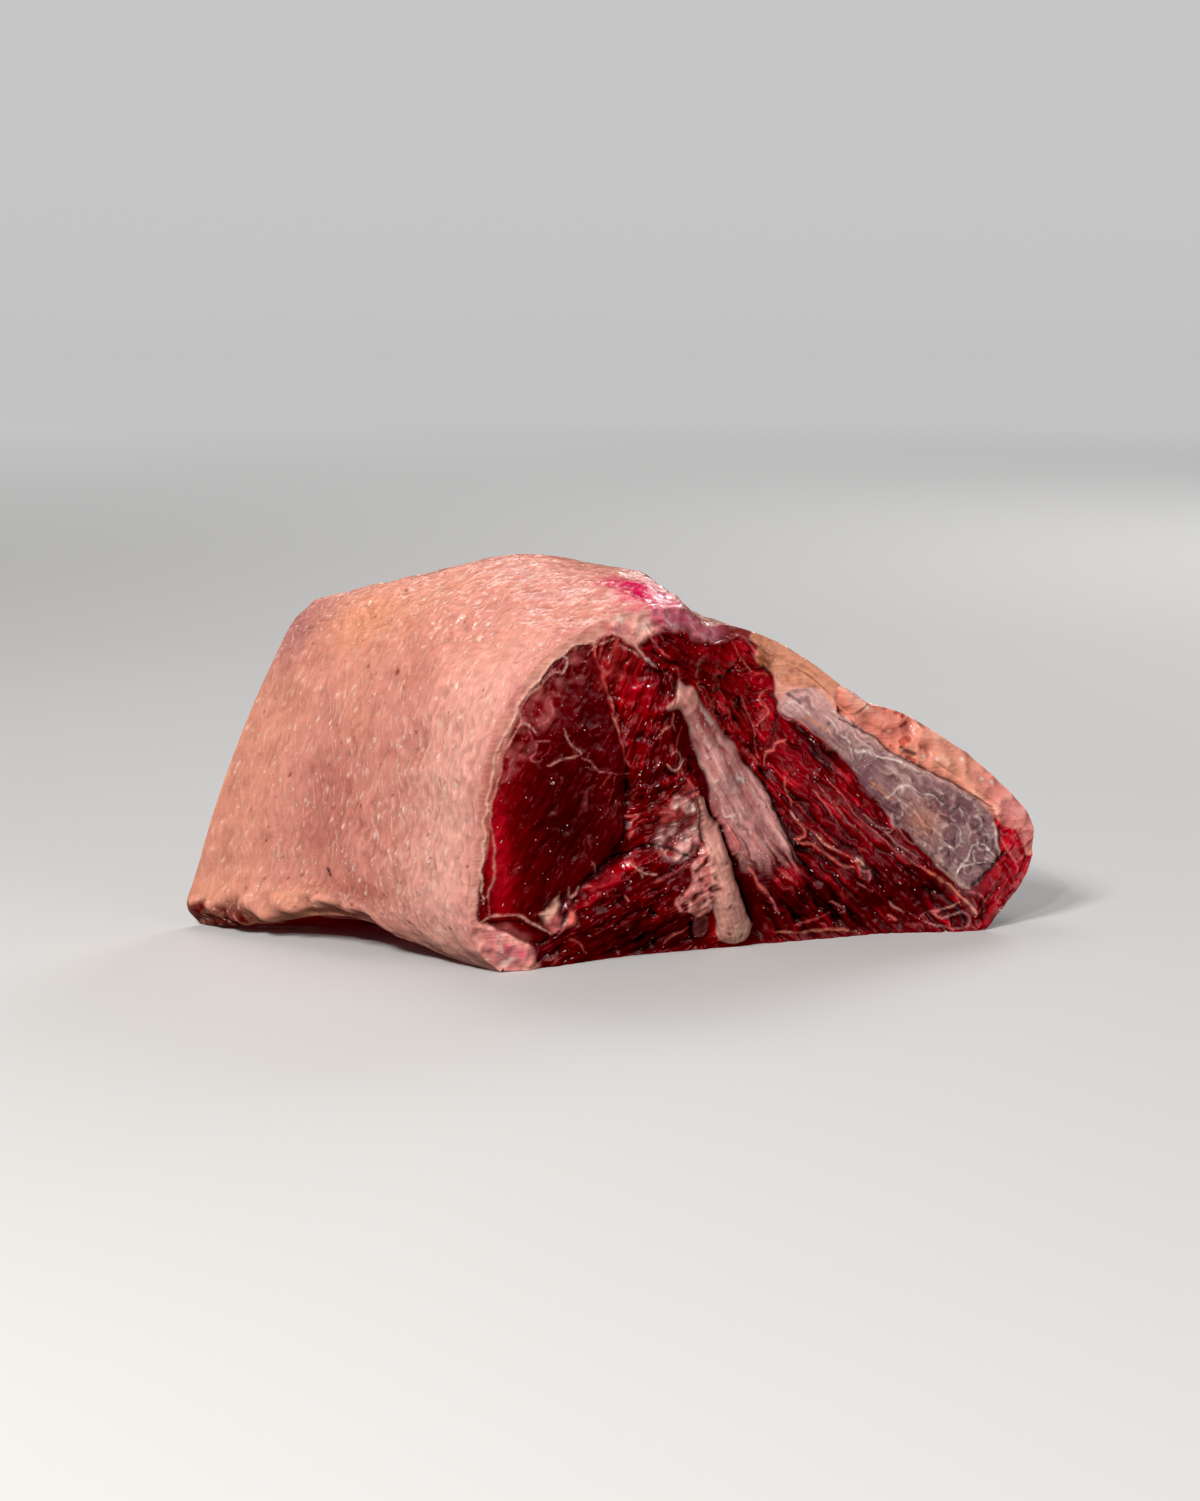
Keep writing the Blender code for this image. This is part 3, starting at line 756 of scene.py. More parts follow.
# Gaps between the muscles, sunk and darkened with painted shade: line, width at its start and end, depth.
GAPS = [
    ([(21, 12), (28, 23), (33, 30), (38, 34.5), (44, 38), (52, 41.5)], 0.7, 1.4, 0.9),
    ([(52, 41.5), (58, 43), (66, 41), (76, 37)], 1.6, 0.8, 0.9),
    ([(44, 40), (48, 46), (49, 52), (49.5, 58), (50, 65), (49.5, 73)], 2.4, 0.8, 1.0),
    ([(45, 13), (52, 18), (57, 19)], 1.0, 2.0, 1.0),
    ([(58, 18), (61, 17)], 2.4, 1.6, 1.2),
    ([(82.6, 57.5), (86, 51), (89, 47), (91, 41), (94, 32), (97.5, 23), (101, 14), (104, 8)], 1.3, 2.6, 1.8),
    ([(79, 58), (79.5, 48), (81, 41)], 0.8, 1.0, 0.5),
    ([(92, 101), (97, 101.2), (101, 103)], 1.0, 1.5, 0.9),
    ([(94, 81), (97, 79.5)], 1.6, 1.6, 0.9),
    ([(75.5, 75), (75, 71), (77, 69)], 2.0, 1.2, 1.0),
    ([(63.5, 71.5), (66, 69.5), (69, 69)], 1.0, 1.6, 0.8),
    ([(56, 110), (60, 108), (66, 108)], 2.0, 1.0, 0.8),
    ([(110, 66), (113, 56), (117, 44), (122, 33), (128, 24)], 0.6, 1.6, 0.7),
    ([(120.5, 84), (118, 80), (118, 75)], 1.2, 0.8, 0.6),
    ([(146, 80.5), (155, 76), (163, 70.5), (168, 66), (177, 61.5), (184, 57.5), (196, 51), (205, 45)],
     0.4, 0.5, 0.5),
    ([(170, 69), (174, 66.5), (176, 66)], 1.6, 2.4, 1.0),
    ([(192, 16), (200, 20.5), (207, 27), (210, 25)], 0.7, 1.4, 0.8),
    ([(14, 9), (17, 10), (19, 11.5)], 1.2, 1.6, 0.8),
    ([(124, 52), (133, 43), (140, 36), (146, 33)], 0.7, 1.2, 0.5),
    ([(122, 36), (130, 32), (137, 27)], 0.6, 1.2, 0.5),
    ([(76, 13), (76.3, 9), (78, 4)], 1.0, 1.0, 0.6),
]
# Fat, sinew and threads on the muscles: line, width at its start and end, tint, height.
STRANDS = [
    ([(-3.6, 66), (-3.4, 57), (-2.4, 50), (-2, 44), (-1.6, 37), (-3.6, 32), (-5, 29), (-7.5, 27.5)],
     1.0, 1.1, CREAM, 0.3),
    ([(-4, 32), (-4.6, 28), (-4, 24), (-3, 21)], 0.7, 0.5, PINK_FAT, 0.2),
    ([(-3.4, 61), (-1, 69), (0.6, 77), (3, 84), (7, 89.6)], 1.3, 0.7, CREAM, 0.3),
    ([(-7, 19.4), (-2, 21.2), (3, 21.2), (8, 20.4), (10, 19), (13, 17), (16, 15.4), (20, 12.6)],
     1.5, 1.1, CREAM, 0.7),
    ([(7.5, 95.5), (8, 91.7), (6.6, 90)], 1.0, 0.5, CREAM, 0.3),
    ([(8, 91.7), (10.5, 91), (13.6, 89)], 0.9, 0.5, WHITE, 0.3),
    ([(19.6, 99.5), (19.8, 95.5), (17.6, 92.7), (14.4, 91)], 0.6, 0.4, PINK_FAT, 0.2),
    ([(5.5, 96.5), (10, 101), (15, 104.4), (18, 107.6), (21.5, 109.3), (25, 109.2)], 0.8, 1.3, CREAM, 0.4),
    ([(24.8, 109.2), (26, 111.4), (26, 114), (24.4, 115.4)], 1.5, 0.7, WHITE, 0.5),
    ([(10, 91), (12, 87.6), (14, 85), (19, 84.8)], 0.5, 0.4, PINK_FAT, 0.1),
    ([(14, 85), (13.2, 81.4), (11.4, 79.2), (13, 77.4), (16, 78)], 0.8, 0.6, PINK_FAT, 0.2),
    ([(24, 89.4), (25.2, 86), (27.2, 82.8), (30.6, 79.3)], 0.7, 0.8, CREAM, 0.3),
    ([(17.6, 76), (22, 77.6), (27, 78.6), (30.6, 78.9)], 0.7, 0.7, CREAM, 0.2),
    ([(31, 78), (34, 76.6), (36.6, 74), (39, 71.8), (44, 71.4), (50, 70)], 0.6, 0.3, PINK_FAT, 0.1),
    ([(5.6, 80), (4, 76), (2.6, 72), (0.8, 70.2)], 0.5, 0.4, PINK_FAT, 0.1),
    ([(37, 114.5), (39.4, 110), (40.4, 104), (42, 100), (43.2, 96), (44.8, 92), (46.2, 86), (47.6, 81),
      (50, 73)],
     1.4, 0.6, RED_FAT, 0.3),
    ([(42, 100), (43.6, 98), (43.8, 94.6)], 1.1, 0.6, CREAM, 0.3),
    ([(43.4, 93.4), (45, 89.4), (46.6, 85)], 1.0, 0.8, CREAM, 0.3),
    ([(47, 81.4), (48.6, 84), (51, 88), (53, 93)], 0.8, 0.4, PINK_FAT, 0.2),
    ([(45.8, 121), (44.2, 116.4), (41.4, 111.6)], 0.9, 0.6, CORAL, 0.3),
    ([(33, 115), (36, 117.5), (41, 120), (46, 120.6)], 0.7, 1.0, CREAM, 0.2),
    ([(36, 118), (37.4, 114)], 1.8, 1.0, CORAL, 0.2),
    ([(49, 128), (51.4, 121), (54.2, 116), (56.4, 112)], 4.6, 1.4, RIM_FAT, 0.4),
    ([(56.4, 113.6), (58, 112), (60.4, 110)], 1.6, 1.4, WHITE, 0.4),
    ([(47, 118), (51, 116), (54, 113.4)], 0.8, 1.2, CREAM, 0.2),
    ([(56, 123), (60, 118), (62, 115), (66, 113)], 0.5, 0.4, PINK_FAT, 0.1),
    ([(62, 110), (66, 106), (70, 103)], 0.4, 0.4, RED_FAT, 0.1),
    ([(38, 66), (45, 71.4), (42, 60)], 0.3, 0.3, RED_FAT, 0.0),
    ([(35.4, 38.6), (36.8, 37), (38, 34.8)], 0.7, 0.9, CREAM, 0.3),
    ([(50, 37), (54, 33.4), (57, 32), (61, 32)], 0.6, 1.7, CREAM, 0.4),
    ([(54.4, 33.2), (55, 30.6)], 0.8, 0.4, CREAM, 0.2),
    ([(26.6, 30), (27, 27), (27.8, 25.6), (29.6, 27.4), (31, 29.4)], 0.9, 0.7, CREAM, 0.4),
    ([(49.4, 54), (53.6, 55), (52, 52)], 1.0, 1.6, CORAL, 0.4),
    ([(51.8, 49.4), (50, 47), (51, 45.4)], 1.6, 0.8, CORAL, 0.4),
    ([(48.6, 25.4), (49.6, 22)], 1.4, 0.8, PINK_FAT, 0.3),
    ([(27, 10), (31, 8), (34, 4)], 1.0, 0.8, CORAL, 0.2),
    ([(66, 3.4), (70, 7), (75.6, 10)], 2.4, 1.4, CORAL, 0.5),
    ([(80, 119.6), (86, 116), (92, 113.6), (98, 113.6), (103, 114.2), (108, 113.8), (110.6, 111.4),
      (115, 106)],
     0.8, 1.0, PINK_FAT, 0.4),
    ([(101, 113), (104, 108), (108, 103), (110, 100.5)], 0.8, 1.2, CORAL, 0.3),
    ([(64, 119), (60, 124)], 0.5, 0.5, PINK_FAT, 0.1),
    ([(110, 101), (114, 99.5), (118, 98)], 0.9, 1.4, RED_FAT, 0.4),
    ([(60, 83), (63, 85.8), (67.4, 87.4)], 1.0, 2.2, BEIGE_FAT, 0.5),
    ([(67.6, 91.6), (67.4, 88), (68.4, 85.6)], 1.0, 1.6, SINEW_PINK, 0.5),
    ([(72, 86.5), (70.4, 82.6), (69.6, 79)], 0.8, 2.0, RED_FAT, 0.3),
    ([(64.6, 73), (67, 71), (70, 71.2), (72.6, 73.6)], 1.4, 2.0, CREAM, 0.8),
    ([(66, 76), (69, 77.4), (71, 75.4), (71, 72)], 0.8, 1.2, SILVER, 0.5),
    ([(72, 71), (73, 67.4), (77, 62.6), (79.4, 58)], 1.2, 1.6, CORAL, 0.5),
    ([(105, 90.4), (107.4, 85), (109, 80), (109.6, 75), (109, 69)], 0.5, 0.9, PINK_FAT, 0.2),
    ([(117, 93.4), (113.6, 91.6), (113, 88.6), (116.4, 86.4), (115, 83.4), (112, 81.4), (109, 80.6)],
     1.6, 0.9, CORAL, 0.5),
    ([(122, 75.4), (118.4, 74.4), (116.4, 71.4), (113.6, 71), (112.2, 66)], 1.6, 0.8, CORAL, 0.5),
    ([(106, 71), (108, 68), (110, 66)], 1.0, 1.8, CORAL, 0.3),
    ([(125, 89.6), (121, 86), (124, 82), (129, 80.6), (134, 77)], 1.2, 0.9, PINK_FAT, 0.4),
    ([(119.4, 62), (120.4, 56), (121.4, 51)], 0.8, 0.7, CORAL, 0.3),
    ([(120.6, 49.4), (122.6, 46), (124.6, 43.6), (126, 41.4), (125, 38.6), (121.6, 38.4)],
     1.0, 1.8, CORAL, 0.7),
    ([(121, 48.6), (122.6, 45.6)], 0.9, 0.5, WHITE, 0.2),
    ([(125.4, 44), (131, 38.6), (137, 33.4), (143, 30.4)], 1.0, 2.2, RED_FAT, 0.7),
    ([(128, 40.6), (134, 35.6), (139, 32.2)], 0.4, 0.6, CREAM, 0.3),
    ([(121.6, 38), (130, 34.6), (136, 30.6), (141, 27), (144.6, 26.4)], 0.7, 1.6, CORAL, 0.6),
    ([(144.6, 29), (146.6, 29.2), (148.4, 27.6)], 4.4, 3.0, CREAM, 0.7),
    ([(149.6, 25.4), (150.8, 23), (150.4, 21.4)], 2.6, 1.4, PINK_FAT, 0.5),
    ([(146, 27), (149, 25)], 1.2, 1.8, SILVER, 0.3),
    ([(145, 21.6), (148, 19), (152, 17)], 0.6, 0.8, CORAL, 0.3),
    ([(159, 12.4), (162, 9.4), (165, 8)], 1.2, 0.7, CREAM, 0.4),
    ([(158, 7.4), (162, 5)], 2.0, 1.4, CORAL, 0.3),
    ([(133, 58), (137, 52.4), (141, 46.4), (147, 40), (152, 35)], 0.5, 0.4, SINEW_PINK, 0.2),
    ([(130, 57), (134, 51.4), (139, 44)], 0.9, 0.5, PINK_FAT, 0.3),
    ([(136, 61), (141, 54), (148, 45), (156, 37), (163, 31), (172, 25)], 0.4, 0.6, SINEW_PINK, 0.2),
    ([(150, 46), (157, 39.4), (163, 34), (170, 29)], 0.6, 0.5, SILVER, 0.2),
    ([(154, 41), (161, 40), (157, 38)], 0.4, 0.3, SILVER, 0.1),
    ([(163, 41), (166, 36), (171, 33.4)], 0.4, 0.3, SILVER, 0.1),
    ([(172, 25), (178, 20.6), (184, 16), (188, 12)], 1.0, 3.0, BEIGE_FAT, 0.5),
    ([(133, 15), (137, 13), (141, 10.6), (138, 9)], 1.0, 1.6, PINK_FAT, 0.4),
    ([(120, 6), (128, 7.4), (134, 9)], 0.9, 0.5, RED_FAT, 0.2),
    ([(112, 4.4), (124, 3.4), (134, 3.4), (144, 2.2)], 0.8, 1.8, BEIGE_FAT, 0.4),
    ([(174.6, 8.2), (179, 8)], 1.8, 1.6, PINK_FAT, 0.3),
    ([(179.6, 8), (184, 9), (187, 11)], 0.7, 0.6, CREAM, 0.3),
    ([(170, 5.6), (174, 8), (180, 5.4), (188, 7), (190.6, 4), (187, 1.6), (176, 2.4), (171, 4.6)],
     0.6, 0.6, SILVER, 0.3),
    ([(188, 12), (191, 9.6), (193, 6)], 3.0, 2.4, CREAM, 0.5),
    ([(190, 14.6), (195, 13.6), (198, 10.6)], 1.0, 0.8, PINK_FAT, 0.3),
    ([(207, 33), (209.4, 28), (213, 24.4), (216, 26)], 0.7, 1.6, PINK_FAT, 0.3),
    ([(113, 28), (116, 25), (118.4, 23.6)], 1.0, 1.2, CORAL, 0.5),
    ([(101, 30), (104, 24.6), (107, 20.6), (109, 18.6)], 1.4, 2.6, CORAL, 0.4),
    ([(109, 18), (111.6, 14), (113.6, 11)], 1.6, 1.0, PINK_FAT, 0.4),
    ([(96, 34), (99, 36), (101.6, 33.4)], 0.9, 0.7, CORAL, 0.4),
    ([(100.6, 36), (97, 33), (100, 30)], 0.7, 0.7, CREAM, 0.2),
]


def ellipse(canvas, middle, half, heading):
    """Cover that is 1 at the middle of an oval and fades to its edge."""
    turn = math.radians(heading)
    x = canvas.x - middle[0] + 1.5 * canvas.sway_x
    y = canvas.y - middle[1] + 1.5 * canvas.sway_y
    ahead = (x * math.cos(turn) + y * math.sin(turn)) / half[0]
    across = (y * math.cos(turn) - x * math.sin(turn)) / half[1]
    return np.exp(-(ahead**2 + across**2))


def paint_muscles(cut, place=np.array, seed=0, coarse=1.0):
    """The muscles at their places on a cut, with fibres, bundles and a few pale threads."""
    for number, (outline, heading, width, deep, light, contrast, glints) in enumerate(MUSCLES):
        cover = cut.patch(place(outline), 2.2 * coarse, 1.0)
        width = coarse * width
        fibres = cut.fibres(heading, width, width * 18, seed + 20 + 3 * number, 0.6)
        bundles = 1 - 2 * np.abs(cut.fibres(heading, 2.8 * width, width * 16, seed + 40 + 3 * number, 1.2))
        blotches = cut.mottle(11, seed + 60 + number, 2)
        crags = cut.mottle(6.5, seed + 80 + number, 2)
        tone = 0.26 + contrast * (0.45 * fibres + 0.38 * blotches + 0.28 * bundles + 0.12 * crags)
        cut.lay(deep + (light - deep) * np.clip(tone, 0, 1.2)[:, None], cover)
        cut.lay(BLACK_RED, cover * smoothstep(-tone, -0.15, 0.35) * 0.8)
        cut.lay(BRIGHT_RED, cover * smoothstep(tone, 0.75, 1.2) * 0.7)
        threads = cut.threads(heading + 6, 2.6 * coarse, 36, 0.15, seed + 100 + number) * (coarse == 1)
        cut.lay(THREAD, cover * threads * (0.35 + 0.6 * glints))
        grain = contrast * (0.25 * fibres + 0.45 * bundles)
        cut.height += cover * (grain + (0.2 + 1.2 * glints) * crags + 0.15 * threads)
        cut.heading[cover > 0.5] = heading
        cut.wet += cover * (0.25 + 0.2 * blotches)
        cut.glint += cover * (0.12 + 1.2 * glints) * (0.75 + 0.6 * blotches)


def paint_sinew(cut):
    """The band of sinew that runs down from the white tab, in stripes."""
    band = [(64.5, 95), (69, 97.5), (71, 104), (73.4, 100.8), (77, 100.4), (80, 96), (84, 91.5), (89, 86),
            (93, 81), (98, 76), (101, 70), (106, 65), (110, 60), (113.6, 52), (117, 43), (121, 34),
            (124.5, 26), (120, 25), (115, 29), (111, 24), (106, 28), (100, 27), (96, 33), (92, 42),
            (88.6, 48.6), (84.5, 57), (84, 63), (81, 69), (78.6, 75), (76, 81), (74, 88), (71, 92),
            (65, 93)]
    deep = cut.depth_in(band, 0.7)
    stripes = cut.fibres(-58, 4.2, 44, 201, 0.8)
    fine = cut.threads(-58, 3.4, 26, 0.13, 205)
    fade = smoothstep(cut.y, 28, 62)
    fingers = smoothstep(cut.fibres(-60, 3.0, 30, 202, 1.0), -0.35, 0.35)
    cover = smoothstep(deep, -0.6, 2.2) * (fade + (1 - fade) * fingers) * smoothstep(cut.y, 23, 40)
    tone = np.clip(0.62 + 0.6 * stripes + 0.4 * cut.mottle(9, 203, 2), 0, 1)
    body = SINEW_PINK + (SINEW_PALE - SINEW_PINK) * tone[:, None]
    cut.lay(body, cover * (0.7 + 0.25 * fade))
    cut.lay(colour(186, 52, 58), cover * smoothstep(cut.fibres(-57, 4.4, 34, 209), 0.1, 0.75) * 0.6)
    cut.lay(LILAC, cover * smoothstep(-stripes, 0.3, 0.9) * 0.45)
    cut.lay(SINEW_PALE, cover * smoothstep(72 - cut.y, 0, 14) * 0.35)
    cut.lay(colour(186, 52, 58), cover * smoothstep(cut.y, 78, 92) * 0.3)
    cut.lay(WHITE, cover * fine * 0.75)
    # Paler streaks along the sinew: partly its pale fibres, partly painted highlight.
    cut.lay(WHITE, cover * smoothstep(cut.fibres(-60, 2.6, 24, 210), 0.4, 0.9) * 0.5)
    cut.lay(WHITE, cover * smoothstep(deep, 0, 0.8) * (1 - smoothstep(deep, 0.8, 1.8)) * 0.3)
    cut.lay(DARK_RED, cover * cut.specks(6, 0.7, 0.3, 206) * 0.7)
    cut.height += cover * (0.5 + 0.5 * stripes + 0.2 * fine) * smoothstep(deep, 0, 3)
    tab = cut.patch([(64.5, 95), (69, 97.5), (71, 104), (73.4, 100.8), (77.5, 100), (79.8, 95.6),
                     (78, 92), (74, 90), (71, 92.6), (65.6, 93)], 1.4, 0.5)
    cut.lay(colour(240, 166, 150), tab * (0.75 + 0.25 * cut.mottle(4, 207)))
    cut.height += 0.5 * tab
    cut.heading[cover > 0.5] = -58
    cut.wet += 0.25 * cover
    slits = (
        ((83, 76), (1.3, 0.6)), ((88.5, 81.6), (1.0, 0.8)), ((82, 82), (0.8, 0.5)),
        ((91.6, 74.6), (3.0, 0.6)),
    )
    for slit, size in slits:
        cut.lay(RED, 0.8 * ellipse(cut, slit, size, -35))


def paint_gristle(cut):
    """The rounded grey-beige column under the froth, with its pores."""
    column = [(78.5, 59), (82, 58), (85, 52), (88.6, 46.6), (90.5, 40), (93, 32.4), (96, 25), (99, 18),
              (102, 12), (103.8, 7), (101, 3), (96, 1.6), (90, 2.2), (87, 5), (86.6, 11), (84.6, 16),
              (84, 22), (82.6, 28), (82, 34), (80.6, 42), (78.6, 49)]
    deep = cut.depth_in(column, 0.5)
    cover = smoothstep(deep, -0.3, 0.5)
    tone = np.clip(0.6 + 0.5 * cut.mottle(9, 211, 2), 0, 1)
    cut.lay(GRISTLE_BEIGE * tone[:, None] + GRISTLE_GREY * (1 - tone[:, None]), cover)
    cut.lay(GRISTLE_GREY, cover * smoothstep(cut.y, 34, 50) * 0.75)
    cut.lay(SINEW_PALE, cover * smoothstep(cut.fibres(-70, 1.8, 14, 213), 0.2, 0.9) * 0.5)
    cut.lay(CREAM, cover * ellipse(cut, (97.5, 5.5), (4.5, 3), 0) * 0.9)
    cut.lay(CORAL, cover * smoothstep(-cut.fibres(-70, 2.6, 12, 216), 0.3, 0.9) * 0.35)
    cut.height += cover * (1.1 * smoothstep(deep, 0, 3.5) + 0.25 * cut.mottle(4, 215))
    cut.heading[cover > 0.5] = -70
    pores = (
        (90.6, 17), (92, 6.4), (96.6, 4.6), (80.4, 20), (83.6, 21), (81, 27), (85, 23.6), (89, 33),
        (84, 29),
    )
    for pore in pores:
        spot = ellipse(cut, pore, (0.9, 0.7), 40)
        cut.lay(DARK_RED, spot * 0.85)
        cut.height -= 0.4 * spot
    pink = cut.patch([(84.4, 57), (87, 54.5), (90, 49), (95, 44), (97, 38), (94, 35), (91, 43), (86.6, 50)],
                     0.7, 0.4)
    cut.lay(SINEW_PINK, pink * (0.8 + 0.2 * cut.fibres(-60, 1.2, 8, 217)))
    cut.height += 0.6 * pink


def paint_froth(cut):
    """The whitish swirl of torn fat and the lace of fat bits beside the gristle."""
    area = cut.patch([(61, 46), (64, 54), (70, 60), (75, 64), (79.4, 58), (79.4, 48), (77, 40), (72, 36),
                      (66, 37), (62, 41)],
                     3.5, 1.6)
    tufts = cut.threads(80, 2.2, 9, 0.16, 221) + cut.threads(20, 2.4, 8, 0.16, 223)
    blots = smoothstep(cut.mottle(7, 225, 2), -0.3, 0.5)
    cut.lay(SINEW_PINK, area * (0.55 + 0.3 * cut.mottle(5, 224)))
    cut.lay(SINEW_PALE, area * blots * 0.8)
    cut.lay(WHITE, area * tufts * 0.7)
    cut.lay(RED, area * smoothstep(-blots, -0.2, 0.0) * 0.4)
    cut.height += area * (0.4 + 0.35 * blots + 0.2 * tufts)
    lace = cut.patch([(70, 16), (69, 22), (74, 26), (76, 32), (80, 42), (83, 40), (83.5, 30), (85, 24),
                      (84, 16), (80, 14), (74, 17)], 1.2, 1.6)
    holes = smoothstep(cut.mottle(4.4, 227, 1), 0.05, 0.5)
    cut.lay(colour(220, 128, 118), lace * 0.85)
    cut.lay(SINEW_PALE, lace * smoothstep(cut.mottle(4, 229), 0.1, 0.7) * 0.8)
    cut.lay(DARK_RED, lace * holes * 0.9)
    cut.height += lace * (0.5 - 0.9 * holes)
    knob = cut.patch([(77, 13.4), (80, 14.4), (83, 13), (84, 8), (82, 4.6), (78.6, 5.6), (77, 9)], 0.8, 0.4)
    cut.lay(colour(122, 62, 62), knob * (0.85 + 0.15 * cut.mottle(2, 231)))
    cut.height += 0.8 * knob


SILVER_SHEET = [(120.4, 86), (123, 90.4), (131, 93.4), (139, 91), (146, 83), (156, 76), (166, 68),
                (176, 61.6), (184, 57.4), (194, 51.6), (203, 44.6), (206, 37), (205.6, 30), (203, 23),
                (192, 15), (186, 18), (178, 25), (168, 37.4), (161, 41), (159.6, 46), (152.6, 56),
                (146, 65), (137, 74), (129, 80)]


def paint_silverskin(cut):
    """The sheet of silverskin, with its folds, bubbles and the meat that shows through."""
    deep = cut.depth_in(SILVER_SHEET, 1.0)
    cover = smoothstep(deep, -0.5, 0.8)
    upper = smoothstep(cut.y - 0.45 * (150 - cut.x), 66, 84)
    tone = np.clip(0.22 + 0.4 * cut.mottle(12, 241) + 0.85 * upper, 0, 1)
    sheet = LILAC + (SILVER - LILAC) * tone[:, None]
    cut.lay(sheet, cover * 0.95)
    cut.lay(SINEW_PALE, cover * upper * 0.45)
    folds = cut.fibres(-40, 3.2, 26, 243, 2.0)
    cut.lay(SILVER, cover * smoothstep(folds, 0.1, 0.9) * 0.55)
    cut.lay(LILAC * 0.8, cover * smoothstep(-folds, 0.2, 1.0) * 0.6)
    creases = cut.threads(-36, 4.5, 18, 0.16, 245) + 0.7 * cut.threads(-75, 5.5, 13, 0.12, 246)
    cut.lay(WHITE, cover * creases * 0.28)
    cut.height += cover * (0.45 * folds + 0.25 * creases)
    first, number = cells(cut.x / 6 + 0.4 * cut.sway_x, cut.y / 6 + 0.4 * cut.sway_y, 247)
    low = cover * smoothstep(cut.x + 0.5 * cut.y, 172, 196)
    low = low * smoothstep(54 - cut.y + 0.2 * (cut.x - 160), 0, 8)
    bubble = smoothstep(0.2 + 0.3 * number - first, 0, 0.14) * (number > 0.3)
    ring = np.exp(-(((first - 0.2 - 0.3 * number) / 0.07) ** 2)) * (number > 0.3)
    ring = ring * smoothstep(cut.mottle(3, 249), -0.4, 0.3)
    cut.lay(LILAC * 0.75, low * bubble * 0.6)
    cut.lay(WHITE, low * ring * 0.25)
    cut.height += low * (0.2 * ring + 0.5 * bubble)
    for middle, radius in (
            ((165, 46), 3.2), ((171.4, 46), 2.2), ((187, 35), 4.2), ((178, 38), 2.6), ((197, 39), 3.0),
            ((200, 32), 3.2), ((190, 43), 2.6), ((183, 29), 3.0)):
        away = np.hypot(cut.x - middle[0] + 0.6 * cut.sway_x, cut.y - middle[1] + 0.6 * cut.sway_y)
        ring = np.exp(-(((away - radius) / 0.42) ** 2)) * cover * smoothstep(cut.mottle(3, 250), -0.5, 0.4)
        cut.lay(WHITE, ring * 0.22)
        cut.lay(LILAC * 0.75, cover * smoothstep(radius - away, 0.3, 1.4) * 0.6)
        cut.height += 0.35 * ring + 0.3 * cover * smoothstep(radius - away, 0, radius)
    cut.lay(BEIGE_FAT * 1.1, cover * 0.4 * ellipse(cut, (176, 42), (6, 7), 70))
    cut.lay(CREAM, cover * 0.7 * ellipse(cut, (182, 22), (8, 2.6), -48))
    for line, width in (([(131, 83), (137, 79), (142, 75)], 0.8), ([(156, 57), (160, 53), (164, 50)], 1.2)):
        cut.lay(colour(214, 134, 90), cut.stroke(line, width, 0.5) * 0.8)
    for fold in (
            ([(150, 78), (153, 73), (160, 66), (170, 63)], 1.0),
            ([(139, 82), (146, 76), (150, 71), (150, 65)], 0.9),
            ([(152, 68), (160, 66), (170, 63), (180, 58)], 0.7),
            ([(186, 20), (192, 27), (197, 32), (203, 27)], 1.1), ([(187, 22), (195, 25), (204, 24)], 0.9),
            ([(206, 26), (205, 33), (205.6, 39)], 1.0),
            ([(160, 50), (168, 54), (177, 52), (186, 47)], 0.7), ([(124, 88), (130, 87), (134, 82)], 0.8)):
        line = cut.stroke(fold[0], 0.9 * fold[1], 0.5, 0.95, 1.4, 0.6)
        cut.lay(WHITE, line * 0.45)
        cut.height += 0.3 * line
    for fleck in ((147, 83.5), (141, 78.4), (151, 79.4), (126, 90.6), (183, 23.4)):
        cut.lay(BLACK_RED, 0.8 * ellipse(cut, fleck, (0.9, 0.5), -40))
    cut.heading[cover > 0.5] = -38
    cut.wet += 0.35 * cover


RIDGE_FAT = [(146, 92), (158, 90), (176, 86), (190, 74), (212, 58), (226, 40), (222, 27), (217, 26),
             (216, 33), (211, 37), (206, 41), (204, 45), (196, 50.6), (184, 57), (177, 61), (168, 66),
             (163, 70), (155, 76), (147, 80.6)]


